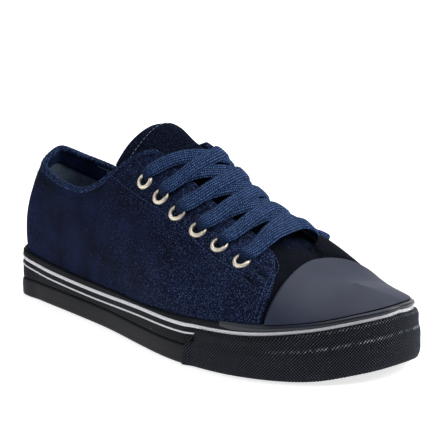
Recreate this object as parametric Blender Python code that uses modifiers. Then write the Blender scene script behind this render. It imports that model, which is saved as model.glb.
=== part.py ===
"""Low-top lace-up sneaker: a right shoe, standing empty on its sole.

+X points to the toe, +Z up, and the wearer's right (the outer side) is -Y.
The origin is under the middle of the shoe's box. Tables are in millimetres.
"""

import bmesh
import bpy
import numpy as np
from mathutils import Matrix, Vector

MM = 0.001

# Driving sizes
LENGTH = 270.0              # outsole, heel to toe
SOLE_HEIGHT = 11.0          # moulded bottom unit under the foxing
GAP = 0.4                   # clearance between neighbours
WALL = 2.0                  # upper: velvet, interlining and lining
FOXING_TOP_WALL = 1.4       # foxing thickness at its upper edge
TREAD_DEPTH = 1.2           # height of the heel and forefoot pads over the arch
INSOLE_THICKNESS = 4.0
CAP_LIFT = 1.1              # toe cap's inner face above the upper
CAP_FOOT = 1.2              # toe cap's lower edge above the foxing
CAP_WALL = 1.4
CAP_FROM = 0.734            # u of its rear edge at the foxing
CAP_SLANT = 0.042           # the rear edge's reach forward of that on the ridge
TONGUE_WALL = 2.4
LACE_WIDTH = 9.0
LACE_THICKNESS = 1.5
EYELET_HOLE_RADIUS = 3.2    # hole punched through the upper
EYELET_STEPS = 12

# Cross-sections, evenly spaced in u from the heel (0) to the toe (1):
# centre and half place the sole's outline, spring lifts the tread, foxing_top is the height of the
# rubber wall, lean how far that edge stands in from the outline, ridge_* the last's top line,
# fullness and crown the roundness of the section low down and at the ridge (2 is elliptical), and
# swell the bulge of the heel above the foxing.
SECTION_COLUMNS = ("centre", "half", "spring", "foxing_top", "lean",
                   "ridge_x", "ridge_y", "ridge_z", "fullness", "crown", "swell")
SECTIONS = (
    (0.2, 0.0, 0.0, 32.0, 1.9, -96.2, 3.0, 107.0, 2.1, 2.1, 0.04),
    (-0.4, 23.0, 0.0, 29.7, 1.5, -95.3, 3.0, 110.1, 1.84, 1.84, 0.045),
    (2.8, 30.0, 0.0, 27.8, 1.3, -80.2, 3.0, 113.5, 1.94, 1.94, 0.03),
    (2.3, 33.4, 0.0, 26.8, 1.2, -58.3, 3.2, 114.6, 2.01, 2.0, 0.02),
    (-1.0, 35.4, 0.0, 26.0, 1.2, -29.4, 5.5, 109.1, 1.94, 1.92, 0.01),
    (-4.1, 40.4, 0.0, 26.6, 1.3, 1.3, 11.0, 97.0, 1.89, 1.62, 0.0),
    (-3.6, 47.2, 0.0, 27.2, 1.6, 31.4, 12.0, 75.6, 1.54, 1.72, 0.0),
    (1.5, 49.3, 0.8, 28.6, 2.1, 61.5, 11.5, 62.8, 1.5, 1.86, 0.0),
    (7.4, 40.3, 2.7, 31.5, 2.9, 88.0, 8.0, 48.0, 1.22, 2.0, 0.0),
    (11.8, 22.4, 6.6, 35.8, 3.9, 98.0, 7.0, 45.3, 1.24, 2.0, 0.0),
    (12.1, 0.0, 8.7, 37.8, 4.6, 102.0, 8.0, 44.8, 1.3, 2.0, 0.0),
)

# Top edge of the upper, from the back of the collar, round the ankle, up to the facing's corner,
# down the facing and round the throat's front, then along the closed toe.
# A column of the surface runs from foot_u at the foxing to (edge_u, edge_v).
EDGE_COLUMNS = ("foot_u", "edge_u", "edge_v")
TOP_EDGE = (
    (0.0, 0.0, 0.514), (0.05, 0.06, 0.494), (0.10, 0.12, 0.448), (0.15, 0.17, 0.405),
    (0.20, 0.215, 0.373), (0.25, 0.255, 0.355), (0.29, 0.29, 0.348), (0.325, 0.322, 0.364),
    (0.355, 0.349, 0.416), (0.385, 0.374, 0.508), (0.41, 0.396, 0.612), (0.435, 0.416, 0.700),
    (0.455, 0.436, 0.730), (0.475, 0.457, 0.708), (0.52, 0.51, 0.692), (0.57, 0.565, 0.715),
    (0.62, 0.620, 0.742), (0.66, 0.664, 0.748), (0.69, 0.695, 0.785), (0.715, 0.720, 0.87),
    (0.735, 0.738, 1.0), (0.78, 0.778, 1.0), (0.83, 0.82, 1.0), (0.88, 0.88, 1.0),
    (0.92, 0.92, 1.0), (0.96, 0.96, 1.0), (1.0, 1.0, 1.0),
)

# Eyelets of the outer side as (u, v), from the ankle down to the vamp; the inner ones stand a
# little nearer the toe
EYELETS = ((0.442, 0.530), (0.482, 0.503), (0.522, 0.495), (0.566, 0.522), (0.610, 0.540), (0.660, 0.518))
INNER_EYELET_SHIFT = 0.018

# Tongue's outer face: half is its half width in v, outer, middle and inner its lift over the last
# at its edges and its crown, shift and crown the place and half width of that crown in v, and
# slant how much nearer the toe its inner side ends.
TONGUE_COLUMNS = ("u", "slant", "half", "outer", "middle", "inner", "shift", "crown")
TONGUE = (
    (0.745, 0.0, 0.24, -3.3, -3.3, -3.3, 0.0, 0.30), (0.715, 0.0, 0.32, -3.5, -3.2, -3.5, 0.0, 0.30),
    (0.69, 0.0, 0.38, -4.4, -2.8, -4.4, 0.0, 0.28), (0.65, 0.0, 0.42, -5.1, -2.2, -5.1, 0.0, 0.26),
    (0.60, 0.0, 0.44, -5.3, -2.0, -5.3, 0.0, 0.24), (0.55, 0.0, 0.45, -5.5, -1.8, -5.5, 0.0, 0.25),
    (0.50, 0.0, 0.455, -5.8, -1.8, -5.8, 0.02, 0.27), (0.455, 0.0, 0.46, -6.1, -0.9, -6.1, 0.06, 0.29),
    (0.42, 0.0, 0.46, -5.2, 1.2, -5.8, 0.08, 0.33), (0.395, 0.004, 0.46, -4.0, 1.9, -5.4, 0.07, 0.37),
    (0.380, 0.008, 0.45, -2.9, 2.0, -5.0, 0.06, 0.38), (0.371, 0.010, 0.42, -2.2, 1.8, -4.8, 0.05, 0.38),
)

# Eyelet profile as (radius, height over the upper's outer face)
EYELET_PROFILE = ((2.5, 0.7), (3.7, 1.2), (4.8, 0.45), (2.9, 0.35), (2.9, -2.4), (2.5, -2.4))

# Outer wall of the bottom unit from its tread up, as (inset from the outline, share of its height)
SOLE_WALL = ((2.0, 0.0), (0.6, 0.10), (0.0, 0.32), (0.0, 0.75), (0.5, 0.94), (1.6, 1.0))

# Toe bumper's outer face from its lower edge up, as (inset, share of its height): two bulges with
# a groove between them
BUMPER_WALL = ((1.0, 0.0), (0.2, 0.12), (0.0, 0.34), (0.6, 0.52), (0.1, 0.68), (0.5, 0.90), (1.2, 1.0))
BUMPER_FROM = 0.60          # u where the bumper starts on each side
BUMPER_SLANT = 0.02         # its upper corner starts this much further forward
BUMPER_RECESS = 2.0         # the rubber behind it stands in by this much
BUMPER_BELOW_FOXING = 6.2   # its upper edge lies this far under the foxing's

# Lugs: grooves across the heel and forefoot pads
GROOVES_X = (-112.0, -98.0, -84.0, 4.0, 18.0, 32.0, 46.0)
GROOVE_WIDTH = 2.4
ARCH_FROM = 0.34
ARCH_TO = 0.50

# A strand's lift over the last at the facing and at mid-throat, and how far in u its middle bows
# towards the toe
FRONT_STRAND = (4.4, 4.7, 0.008)
TOP_STRAND = (4.4, 5.0, 0.034)
UNDER_STRAND = (4.0, 3.4, 0.020)

COLORS = {
    "velvet": ((0.010, 0.020, 0.085), 0.85, 0.0),
    "foxing_rubber": ((0.022, 0.024, 0.030), 0.45, 0.0),
    "outsole_rubber": ((0.020, 0.022, 0.028), 0.50, 0.0),
    "bumper_rubber": ((0.012, 0.013, 0.018), 0.50, 0.0),
    "cap_rubber": ((0.060, 0.068, 0.095), 0.35, 0.0),
    "tongue_velvet": ((0.010, 0.014, 0.045), 0.90, 0.0),
    "insole_cloth": ((0.030, 0.045, 0.070), 0.90, 0.0),
    "eyelet_metal": ((0.820, 0.740, 0.600), 0.25, 1.0),
    "lace_cloth": ((0.030, 0.075, 0.220), 0.85, 0.0),
}


def read(columns, rows, name, place, level_ends=False):
    """A named column of a table at 0 to 1 along it, as a cubic through the rows."""
    values = np.array([row[columns.index(name)] for row in rows], dtype=float)
    slopes = np.gradient(values)
    if level_ends:
        slopes[0] = slopes[-1] = 0.0
    position = np.clip(np.asarray(place, dtype=float), 0.0, 1.0) * (len(rows) - 1)
    index = np.clip(position.astype(int), 0, len(rows) - 2)
    t = position - index
    return ((2 * t**3 - 3 * t**2 + 1) * values[index] + (t**3 - 2 * t**2 + t) * slopes[index]
            + (3 * t**2 - 2 * t**3) * values[index + 1] + (t**3 - t**2) * slopes[index + 1])


def section(name, u):
    """A section's size at u; all but the half width run level across the heel and toe ends."""
    values = read(SECTION_COLUMNS, SECTIONS, name, u, level_ends=name != "half")
    return np.maximum(values, 0.0) if name == "spring" else values


def ramp(value, start, end):
    """0 before start, 1 after end, smooth between."""
    t = np.clip((np.asarray(value, dtype=float) - start) / (end - start), 0.0, 1.0)
    return t * t * (3.0 - 2.0 * t)


def outline(u, side, inset):
    """Plan outline at u on one side (-1 outer, +1 inner), moved in by inset."""
    half = section("half", u)
    narrowed = np.maximum(half - inset * np.minimum(1.0, half / 15.0), 0.0)
    return -(LENGTH / 2 - inset) * np.cos(np.pi * u), section("centre", u) + side * narrowed


def sole_top(u):
    return SOLE_HEIGHT + 0.9 * section("spring", u)


def foot_inset(u):
    """How far the upper's outer face stands in from the outline at the foxing."""
    return section("lean", u) + FOXING_TOP_WALL + GAP


def last(u, v, side, grow=0.0):
    """The last: from the foxing's edge (v 0) a superellipse quadrant up to the ridge (v 1)."""
    u, v, side, grow = np.broadcast_arrays(*(np.asarray(a, dtype=float) for a in (u, v, side, grow)))
    x0, y0 = outline(u, side, foot_inset(u) - grow)
    z0 = section("foxing_top", u)
    angle = v * np.pi / 2
    inward = 1.0 - np.cos(angle) ** (2.0 / section("crown", u))
    inward = inward - section("swell", u) * np.sin(np.pi * np.minimum(v / 0.5, 1.0))
    upward = np.sin(angle) ** (2.0 / section("fullness", u))
    x = x0 + (section("ridge_x", u) - x0) * inward
    y = y0 + (section("ridge_y", u) - y0) * inward
    z = z0 + (section("ridge_z", u) + grow - z0) * upward
    return np.stack([x, y, z], axis=-1)


def across(u, c, grow=0.0):
    """The last in throat terms: c is -1 at the outer foxing, 0 on the ridge, +1 at the inner one."""
    c = np.asarray(c, dtype=float)
    return last(u, 1.0 - np.abs(c), np.where(c < 0, -1.0, 1.0), grow)


def normal_at(u, v, side):
    """Outward normal of the last, from two short steps along it."""
    step = 0.004
    along = last(u + step, v, side) - last(u - step, v, side)
    upward = last(u, v + step, side) - last(u, v - step, side)
    normal = np.cross(upward, along) * side
    return normal / np.linalg.norm(normal)


def loop_outline(u, inset, height):
    """Closed loop of points: outer side heel to toe, then inner side back."""
    x, y = outline(u, -1.0, inset)
    x_back, y_back = outline(u[-2:0:-1], 1.0, inset[-2:0:-1])
    z = np.concatenate([height, height[-2:0:-1]])
    return np.stack([np.concatenate([x, x_back]), np.concatenate([y, y_back]), z], axis=-1)


def grid_faces(rows, columns, closed=False):
    """Quads over a grid of rows by columns; closed joins the last column to the first."""
    faces = []
    for row in range(rows - 1):
        for column in range(columns if closed else columns - 1):
            right = (column + 1) % columns
            faces.append((row * columns + column, row * columns + right,
                          (row + 1) * columns + right, (row + 1) * columns + column))
    return faces


def make_collection(name):
    collection = bpy.data.collections.new(name)
    bpy.context.scene.collection.children.link(collection)
    return collection


def make_material(name):
    color, roughness, metallic = COLORS[name]
    material = bpy.data.materials.new(name)
    material.use_nodes = True
    shader = material.node_tree.nodes["Principled BSDF"]
    shader.inputs["Base Color"].default_value = (*color, 1.0)
    shader.inputs["Roughness"].default_value = roughness
    shader.inputs["Metallic"].default_value = metallic
    return material


def make_object(name, points, faces, material, collection, flip=False):
    """Mesh object from points in millimetres; touching points are merged."""
    shape = bmesh.new()
    vertices = [shape.verts.new(Vector(point) * MM) for point in points]
    for face in faces:
        shape.faces.new([vertices[i] for i in face])
    bmesh.ops.remove_doubles(shape, verts=shape.verts, dist=0.00002)
    bmesh.ops.dissolve_degenerate(shape, dist=0.000001, edges=shape.edges)
    if flip:
        bmesh.ops.reverse_faces(shape, faces=shape.faces)
    mesh = bpy.data.meshes.new(name)
    shape.to_mesh(mesh)
    shape.free()
    mesh.shade_smooth()
    mesh.set_sharp_from_angle(angle=0.7)
    if material is not None:
        mesh.materials.append(material)
    thing = bpy.data.objects.new(name, mesh)
    collection.objects.link(thing)
    return thing


def make_guide(thing):
    thing.hide_render = True
    thing.display_type = "WIRE"


def add_wall(thing, thickness):
    """Thickness grown inward from an open surface whose faces point outward."""
    solidify = thing.modifiers.new("wall", "SOLIDIFY")
    solidify.thickness = thickness * MM
    solidify.offset = -1.0
    solidify.use_even_offset = False
    solidify.use_quality_normals = True


def add_boolean(thing, operation, other):
    boolean = thing.modifiers.new(operation.lower(), "BOOLEAN")
    boolean.operation = operation
    boolean.solver = "EXACT"
    if isinstance(other, bpy.types.Collection):
        boolean.operand_type = "COLLECTION"
        boolean.collection = other
    else:
        boolean.object = other


def stack_loops(loops):
    """Points and side faces of loops laid one over another, lowest first."""
    points = np.concatenate(loops)
    return points, grid_faces(len(loops), len(loops[0]), closed=True)


def ladder_faces(count, offset, upward):
    """Lid across a loop of count points: rungs join the outer side to the inner side."""
    last_rung = count // 2
    faces = []
    for rung in range(last_rung):
        corners = [rung, rung + 1, count - rung - 1, (count - rung) % count]
        corners = list(dict.fromkeys(corners))
        if not upward:
            corners.reverse()
        faces.append(tuple(offset + corner for corner in corners))
    return faces


def make_outsole(collection, cutters):
    """Bottom unit: flat heel and forefoot pads, hollow arch, toe spring, cross grooves."""
    u = np.linspace(0.0, 1.0, 33)
    recess = BUMPER_RECESS * ramp(u, BUMPER_FROM - 0.07, BUMPER_FROM)
    arch = TREAD_DEPTH * ramp(u, ARCH_FROM, ARCH_FROM + 0.04) * (1.0 - ramp(u, ARCH_TO - 0.04, ARCH_TO))
    bottom = section("spring", u) + arch
    top = sole_top(u)
    loops = []
    for inset, height in SOLE_WALL:
        loops.append(loop_outline(u, recess + inset, bottom + (top - bottom) * height))
    points, faces = stack_loops(loops)
    count = len(loops[0])
    faces += ladder_faces(count, 0, upward=False)
    faces += ladder_faces(count, count * (len(loops) - 1), upward=True)
    outsole = make_object("outsole", points, faces, make_material("outsole_rubber"), collection)

    grooves = bmesh.new()
    for x in GROOVES_X:
        place = Matrix.Translation(Vector((x, 0.0, 0.0)) * MM)
        size = Matrix.Diagonal((GROOVE_WIDTH * MM, 0.12, 2 * TREAD_DEPTH * MM, 1.0))
        bmesh.ops.create_cube(grooves, size=1.0, matrix=place @ size)
    mesh = bpy.data.meshes.new("groove_cutter")
    grooves.to_mesh(mesh)
    grooves.free()
    cutter = bpy.data.objects.new("groove_cutter", mesh)
    cutters.objects.link(cutter)
    make_guide(cutter)
    add_boolean(outsole, "DIFFERENCE", cutter)


def foxing_inset(u, height):
    """Outer face of the foxing: height 0 at its foot, 1 at its upper edge."""
    foot = 1.0 + (BUMPER_RECESS - 1.0) * ramp(u, BUMPER_FROM - 0.07, BUMPER_FROM)
    return foot + (section("lean", u) - foot) * height**2


def make_foxing(collection):
    """Rubber wall round the whole upper, thick at its foot and thin at its edge."""
    u = np.linspace(0.0, 1.0, 33)
    foot = sole_top(u) + GAP
    top = section("foxing_top", u)
    inner = section("lean", u) + FOXING_TOP_WALL
    loops = []
    for height in (0.0, 0.5, 0.96):
        loops.append(loop_outline(u, foxing_inset(u, height), foot + (top - foot) * height))
    loops.append(loop_outline(u, foxing_inset(u, 1.0) + 0.4, top))
    loops.append(loop_outline(u, inner, top))
    loops.append(loop_outline(u, inner, foot))
    loops.append(loops[0])
    points, faces = stack_loops(loops)
    make_object("foxing", points, faces, make_material("foxing_rubber"), collection)


def make_bumper(collection):
    """Raised strip round the toe over the foxing and the bottom unit, from side to side."""
    rows = 41
    place = np.linspace(-1.0, 1.0, rows)
    outer = [(inset, height) for inset, height in BUMPER_WALL]
    points = []
    profile = outer + [(None, 0.93), (None, 0.5), (None, 0.06)]
    for inset, height in profile:
        start = BUMPER_FROM + BUMPER_SLANT * height
        u = 1.0 - (1.0 - start) * np.abs(place)
        low = section("spring", u) + 0.4
        high = section("foxing_top", u) - BUMPER_BELOW_FOXING
        z = low + (high - low) * height
        behind = np.clip((z - sole_top(u)) / (section("foxing_top", u) - sole_top(u)), 0.0, 1.0)
        if inset is None:
            depth = foxing_inset(u, behind) - GAP
            depth = np.minimum(depth, BUMPER_RECESS + 0.0 * u - GAP + 2.0 * behind)
        else:
            depth = inset + (foxing_inset(u, behind) - BUMPER_RECESS)
        side = np.where(place < 0, -1.0, 1.0)
        x, y = outline(u, side, depth)
        points.append(np.stack([x, y, z], axis=-1))
    around = len(profile)
    ring = np.stack(points, axis=1).reshape(-1, 3)
    faces = grid_faces(rows, around, closed=True)
    faces.append(tuple(reversed(range(around))))
    faces.append(tuple(range((rows - 1) * around, rows * around)))
    make_object("toe_bumper", ring, faces, make_material("bumper_rubber"), collection, flip=True)


def make_insole(collection):
    """Foot bed inside the upper, on the bottom unit."""
    u = np.linspace(0.0, 1.0, 25)
    inset = foot_inset(u) + WALL + GAP + 0.1
    low = sole_top(u) + GAP
    loops = [
        loop_outline(u, inset, low),
        loop_outline(u, inset, low + INSOLE_THICKNESS - 1.0),
        loop_outline(u, inset + 1.2, low + INSOLE_THICKNESS),
    ]
    points, faces = stack_loops(loops)
    count = len(loops[0])
    faces += ladder_faces(count, 0, upward=False)
    faces += ladder_faces(count, 2 * count, upward=True)
    make_object("insole", points, faces, make_material("insole_cloth"), collection)


def make_upper(collection, cutters):
    """Hollow shell from the bottom unit to the collar and throat, closed over the toe."""
    columns = 2 * (len(TOP_EDGE) - 1) + 1
    place = np.linspace(0.0, 1.0, columns)
    foot_u = read(EDGE_COLUMNS, TOP_EDGE, "foot_u", place)
    edge_u = np.minimum(read(EDGE_COLUMNS, TOP_EDGE, "edge_u", place), 1.0)
    edge_v = np.minimum(read(EDGE_COLUMNS, TOP_EDGE, "edge_v", place, level_ends=True), 1.0)
    edge_v[place > 20.0 / 26.0 - 0.001] = 1.0
    rows = []
    for share in (None, 0.0, 0.2, 0.4, 0.6, 0.8, 1.0):
        level = 0.0 if share is None else share
        u = foot_u + (edge_u - foot_u) * level
        outer = last(u, edge_v * level, -1.0)
        inner = last(u, edge_v * level, 1.0)[-2:0:-1]
        row = np.concatenate([outer, inner])
        if share is None:
            skirt = sole_top(u) + GAP
            row[:, 2] = np.concatenate([skirt, skirt[-2:0:-1]])
        rows.append(row)
    points = np.concatenate(rows)
    faces = grid_faces(len(rows), len(rows[0]), closed=True)
    upper = make_object("upper", points, faces, make_material("velvet"), collection)
    add_wall(upper, WALL)

    holes = bmesh.new()
    for _, _, frame in eyelet_places():
        bmesh.ops.create_cone(holes, cap_ends=True, segments=EYELET_STEPS, radius1=EYELET_HOLE_RADIUS * MM,
                              radius2=EYELET_HOLE_RADIUS * MM, depth=8 * MM, matrix=frame)
    mesh = bpy.data.meshes.new("eyelet_cutter")
    holes.to_mesh(mesh)
    holes.free()
    cutter = bpy.data.objects.new("eyelet_cutter", mesh)
    cutters.objects.link(cutter)
    make_guide(cutter)
    add_boolean(upper, "DIFFERENCE", cutter)


def side_eyelets(side):
    """The eyelets of one side (-1 outer, +1 inner) as (u, v)."""
    shift = INNER_EYELET_SHIFT if side > 0 else 0.0
    return [(u + shift, v) for u, v in EYELETS]


def eyelet_places():
    """Side name, number and frame of each eyelet: Z along the normal, X towards the toe."""
    places = []
    for side, side_name in ((-1.0, "outer"), (1.0, "inner")):
        for number, (u, v) in enumerate(side_eyelets(side), start=1):
            centre = last(u, v, side)
            normal = normal_at(u, v, side)
            along = last(u + 0.01, v, side) - centre
            along = along - normal * np.dot(along, normal)
            along = along / np.linalg.norm(along)
            across_axis = np.cross(normal, along)
            frame = Matrix((
                (along[0], across_axis[0], normal[0], centre[0] * MM),
                (along[1], across_axis[1], normal[1], centre[1] * MM),
                (along[2], across_axis[2], normal[2], centre[2] * MM),
                (0.0, 0.0, 0.0, 1.0),
            ))
            places.append((side_name, number, frame))
    return places


def make_eyelets(collection):
    """Rolled metal rings: a barrel through the upper and a domed flange on its face."""
    material = make_material("eyelet_metal")
    mesh = bpy.data.meshes.new("eyelet")
    points = [(radius * MM, 0.0, height * MM) for radius, height in EYELET_PROFILE]
    edges = [(i, (i + 1) % len(points)) for i in range(len(points))]
    mesh.from_pydata(points, edges, [])
    mesh.materials.append(material)
    for side_name, number, frame in eyelet_places():
        eyelet = bpy.data.objects.new(f"eyelet_{side_name}_{number}", mesh)
        eyelet.matrix_world = frame
        collection.objects.link(eyelet)
        turn = eyelet.modifiers.new("turn", "SCREW")
        turn.axis = "Z"
        turn.steps = EYELET_STEPS
        turn.render_steps = EYELET_STEPS
        turn.use_merge_vertices = True
        turn.merge_threshold = 0.00001
        turn.use_smooth_shade = True


def make_toe_cap(collection):
    """Rubber cap over the toe, from the foxing's edge to the ridge, proud of the upper."""
    rows = []
    columns = np.linspace(-1.0, 1.0, 29)
    side = np.where(columns < 0, -1.0, 1.0)
    grow = CAP_LIFT + CAP_WALL
    for share in np.linspace(0.0, 1.0, 8):
        start = CAP_FROM + CAP_SLANT * share**2
        u = 1.0 - (1.0 - start) * np.abs(columns)
        rise = CAP_FOOT / (section("ridge_z", u) - section("foxing_top", u))
        foot_v = 2.0 / np.pi * np.arcsin(rise ** (section("fullness", u) / 2.0))
        rows.append(last(u, foot_v + (1.0 - foot_v) * share, side, grow))
    points = np.concatenate(rows)
    faces = grid_faces(len(rows), len(columns))
    cap = make_object("toe_cap", points, faces, make_material("cap_rubber"), collection)
    add_wall(cap, CAP_WALL)


def make_tongue(collection):
    """Curved sheet under the throat: low beside the facings, crowned between them."""
    place = np.linspace(0.0, 1.0, 20)
    size = {name: read(TONGUE_COLUMNS, TONGUE, name, place) for name in TONGUE_COLUMNS}
    rows = []
    for share in np.linspace(-1.0, 1.0, 13):
        c = share * size["half"]
        rise = np.cos(np.pi / 2 * np.minimum(np.abs(c - size["shift"]) / size["crown"], 1.0)) ** 2
        low = size["outer"] + (size["inner"] - size["outer"]) * (share + 1.0) / 2
        u = size["u"] + size["slant"] * ramp(share, -0.2, 0.5)
        rows.append(across(u, c, low + (size["middle"] - low) * rise))
    points = np.concatenate(rows)
    faces = grid_faces(len(rows), len(place))
    tongue = make_object("tongue", points, faces, make_material("tongue_velvet"), collection, flip=True)
    add_wall(tongue, TONGUE_WALL)


def strand(start, end, sizes, name, collection, material=None):
    """Flat strand between two eyelets, each given as (u, c), lying over the facings."""
    share = np.linspace(-0.03, 1.03, 9)
    inside = np.clip(share, 0.0, 1.0)
    facing, middle, bow = sizes
    u = start[0] + (end[0] - start[0]) * share + bow * np.sin(np.pi * inside**0.8)
    c = start[1] + (end[1] - start[1]) * share
    lift = facing + (middle - facing) * np.sin(np.pi * inside)
    centre = across(u, c, lift)
    above = across(u, c, lift + 1.0) - centre
    above /= np.linalg.norm(above, axis=1)[:, None]
    along = np.gradient(centre, axis=0)
    wide = np.cross(along, above)
    wide /= np.linalg.norm(wide, axis=1)[:, None]
    above = np.cross(wide, along)
    above /= np.linalg.norm(above, axis=1)[:, None]
    corners = ((-1, -1), (1, -1), (1, 1), (-1, 1))
    sections = [centre + wide * (x * LACE_WIDTH / 2) + above * (y * LACE_THICKNESS / 2) for x, y in corners]
    points = np.stack(sections, axis=1).reshape(-1, 3)
    count = len(share)
    faces = grid_faces(count, 4, closed=True)
    faces.append((3, 2, 1, 0))
    faces.append(tuple(range(4 * (count - 1), 4 * count)))
    return make_object(name, points, faces, material, collection, flip=True)


def make_laces(collection, strands):
    """Every crossing and the front bar, joined into one body that lies over the facings."""
    outer = [(u, v - 1.0) for u, v in side_eyelets(-1.0)]
    inner = [(u, 1.0 - v) for u, v in side_eyelets(1.0)]
    material = make_material("lace_cloth")
    laces = strand(outer[5], inner[5], FRONT_STRAND, "laces", collection, material)
    for number in range(5):
        over = strand(outer[number + 1], inner[number], TOP_STRAND, f"strand_over_{number}", strands)
        under = strand(inner[number + 1], outer[number], UNDER_STRAND, f"strand_under_{number}", strands)
        make_guide(over)
        make_guide(under)
    add_boolean(laces, "UNION", strands)


def main():
    for thing in list(bpy.data.objects):
        bpy.data.objects.remove(thing, do_unlink=True)
    sneaker = make_collection("sneaker")
    cutters = make_collection("cutters")
    strands = make_collection("lace_strands")
    make_outsole(sneaker, cutters)
    make_foxing(sneaker)
    make_bumper(sneaker)
    make_insole(sneaker)
    make_upper(sneaker, cutters)
    make_toe_cap(sneaker)
    make_tongue(sneaker)
    make_eyelets(sneaker)
    make_laces(sneaker, strands)


main()
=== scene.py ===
import bmesh
import bpy
import numpy as np
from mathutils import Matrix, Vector


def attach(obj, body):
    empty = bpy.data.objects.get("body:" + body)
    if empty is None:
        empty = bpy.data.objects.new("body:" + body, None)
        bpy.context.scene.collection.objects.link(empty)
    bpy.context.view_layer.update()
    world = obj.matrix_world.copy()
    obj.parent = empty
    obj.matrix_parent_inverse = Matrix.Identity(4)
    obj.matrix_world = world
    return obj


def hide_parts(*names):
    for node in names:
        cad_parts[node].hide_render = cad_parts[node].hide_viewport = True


# A right low-top sneaker in navy velvet with a rubber cap, foxing and sole, a flat lace and metal
# eyelets, built over the fixed CAD frame. Lengths in the tables are millimetres.

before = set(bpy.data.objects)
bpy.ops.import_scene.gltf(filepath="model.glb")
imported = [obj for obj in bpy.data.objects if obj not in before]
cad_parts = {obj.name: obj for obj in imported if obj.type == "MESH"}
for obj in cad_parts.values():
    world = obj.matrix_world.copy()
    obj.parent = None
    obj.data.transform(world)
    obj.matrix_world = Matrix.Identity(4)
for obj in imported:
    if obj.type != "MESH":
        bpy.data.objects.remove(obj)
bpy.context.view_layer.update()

lastSizes = {"length": 270.0, "soleHeight": 11.0, "gap": 0.4, "foxingWall": 1.4, "springShare": 0.9,
             "bulge": 1.6, "bulgeAt": 0.54, "bulgeReach": 0.07, "toeDrop": 1.4, "dropRange": (0.68, 0.84),
             "heelUpright": 0.6, "heelRange": (0.08, 0.30), "toeUpright": 0.35, "toeRange": (0.84, 0.97)}

# The last's sections, evenly spaced from the heel (u 0) to the toe (u 1)
sectionNames = ("centre", "half", "spring", "foxingTop", "lean",
                "ridgeX", "ridgeY", "ridgeZ", "fullness", "crown", "swell")
sectionRows = (
    (0.2, 0.0, 0.0, 32.0, 1.9, -96.2, 3.0, 107.0, 2.1, 2.1, 0.04),
    (-0.4, 23.0, 0.0, 29.7, 1.5, -95.3, 3.0, 110.1, 1.84, 1.84, 0.045),
    (2.8, 30.0, 0.0, 27.8, 1.3, -80.2, 3.0, 113.5, 1.94, 1.94, 0.03),
    (2.3, 33.4, 0.0, 26.8, 1.2, -58.3, 3.2, 114.6, 2.01, 2.0, 0.02),
    (-1.0, 35.4, 0.0, 26.0, 1.2, -29.4, 5.5, 109.1, 1.94, 1.92, 0.01),
    (-4.1, 40.4, 0.0, 26.6, 1.3, 1.3, 11.0, 97.0, 1.89, 1.62, 0.0),
    (-3.6, 47.2, 0.0, 27.2, 1.6, 31.4, 12.0, 75.6, 1.54, 1.72, 0.0),
    (1.5, 49.3, 0.8, 28.6, 2.1, 61.5, 11.5, 62.8, 1.5, 1.86, 0.0),
    (7.4, 40.3, 2.7, 31.5, 2.9, 88.0, 8.0, 45.2, 1.22, 2.0, 0.0),
    (11.8, 22.4, 6.6, 35.8, 3.9, 98.0, 7.0, 42.8, 1.24, 2.0, 0.0),
    (12.1, 0.0, 8.7, 37.8, 4.6, 102.0, 8.0, 43.2, 1.3, 2.0, 0.0),
)

# The top edge from the back of the collar to the throat's front: a column runs from footU at the
# foxing to (edgeU, edgeV)
edgeNames = ("footU", "edgeU", "edgeV")
edgeRows = (
    (0.0, 0.0, 0.514), (0.05, 0.06, 0.494), (0.10, 0.12, 0.448), (0.15, 0.17, 0.405),
    (0.20, 0.215, 0.373), (0.25, 0.255, 0.355), (0.29, 0.29, 0.348), (0.325, 0.322, 0.364),
    (0.355, 0.349, 0.416), (0.385, 0.374, 0.508), (0.41, 0.396, 0.612), (0.435, 0.416, 0.700),
    (0.455, 0.436, 0.730), (0.475, 0.457, 0.708), (0.52, 0.51, 0.692), (0.57, 0.565, 0.715),
    (0.62, 0.620, 0.742), (0.66, 0.664, 0.748), (0.69, 0.695, 0.785), (0.715, 0.720, 0.87),
    (0.735, 0.738, 1.0), (0.78, 0.778, 1.0), (0.83, 0.82, 1.0), (0.88, 0.88, 1.0),
    (0.92, 0.92, 1.0), (0.96, 0.96, 1.0), (1.0, 1.0, 1.0),
)
throatPlace = 0.769

# Outer eyelets in (u, v). The inner ones sit nearer the toe, the last of them only a little.
outerEyelets = ((0.442, 0.530), (0.482, 0.503), (0.522, 0.495), (0.566, 0.522), (0.610, 0.540),
                (0.660, 0.518))
innerEyeletShift = 0.018
lastInnerShift = 0.002


# Shared curves

def cubic(values, slopes, index, t, step=1.0):
    # Hermite cubic from each indexed value to the next
    return ((2 * t**3 - 3 * t**2 + 1) * values[index] + (t**3 - 2 * t**2 + t) * slopes[index] * step
            + (3 * t**2 - 2 * t**3) * values[index + 1] + (t**3 - t**2) * slopes[index + 1] * step)


def readColumn(names, rows, name, place, levelEnds=False):
    # A cubic through evenly spaced rows
    values = np.array([row[names.index(name)] for row in rows], dtype=float)
    slopes = np.gradient(values)
    if levelEnds:
        slopes[0] = slopes[-1] = 0.0
    position = np.clip(np.asarray(place, dtype=float), 0.0, 1.0) * (len(rows) - 1)
    index = np.clip(position.astype(int), 0, len(rows) - 2)
    return cubic(values, slopes, index, position - index)


def readKnots(rows, place):
    # A cubic through rows of (place, value)
    knots, values = np.array(rows, dtype=float).T
    slopes = np.gradient(values, knots)
    x = np.clip(np.asarray(place, dtype=float), knots[0], knots[-1])
    index = np.clip(np.searchsorted(knots, x, side="right") - 1, 0, len(knots) - 2)
    step = knots[index + 1] - knots[index]
    return cubic(values, slopes, index, (x - knots[index]) / step, step)


def section(name, u):
    values = readColumn(sectionNames, sectionRows, name, u, levelEnds=name != "half")
    return np.maximum(values, 0.0) if name == "spring" else values


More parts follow.
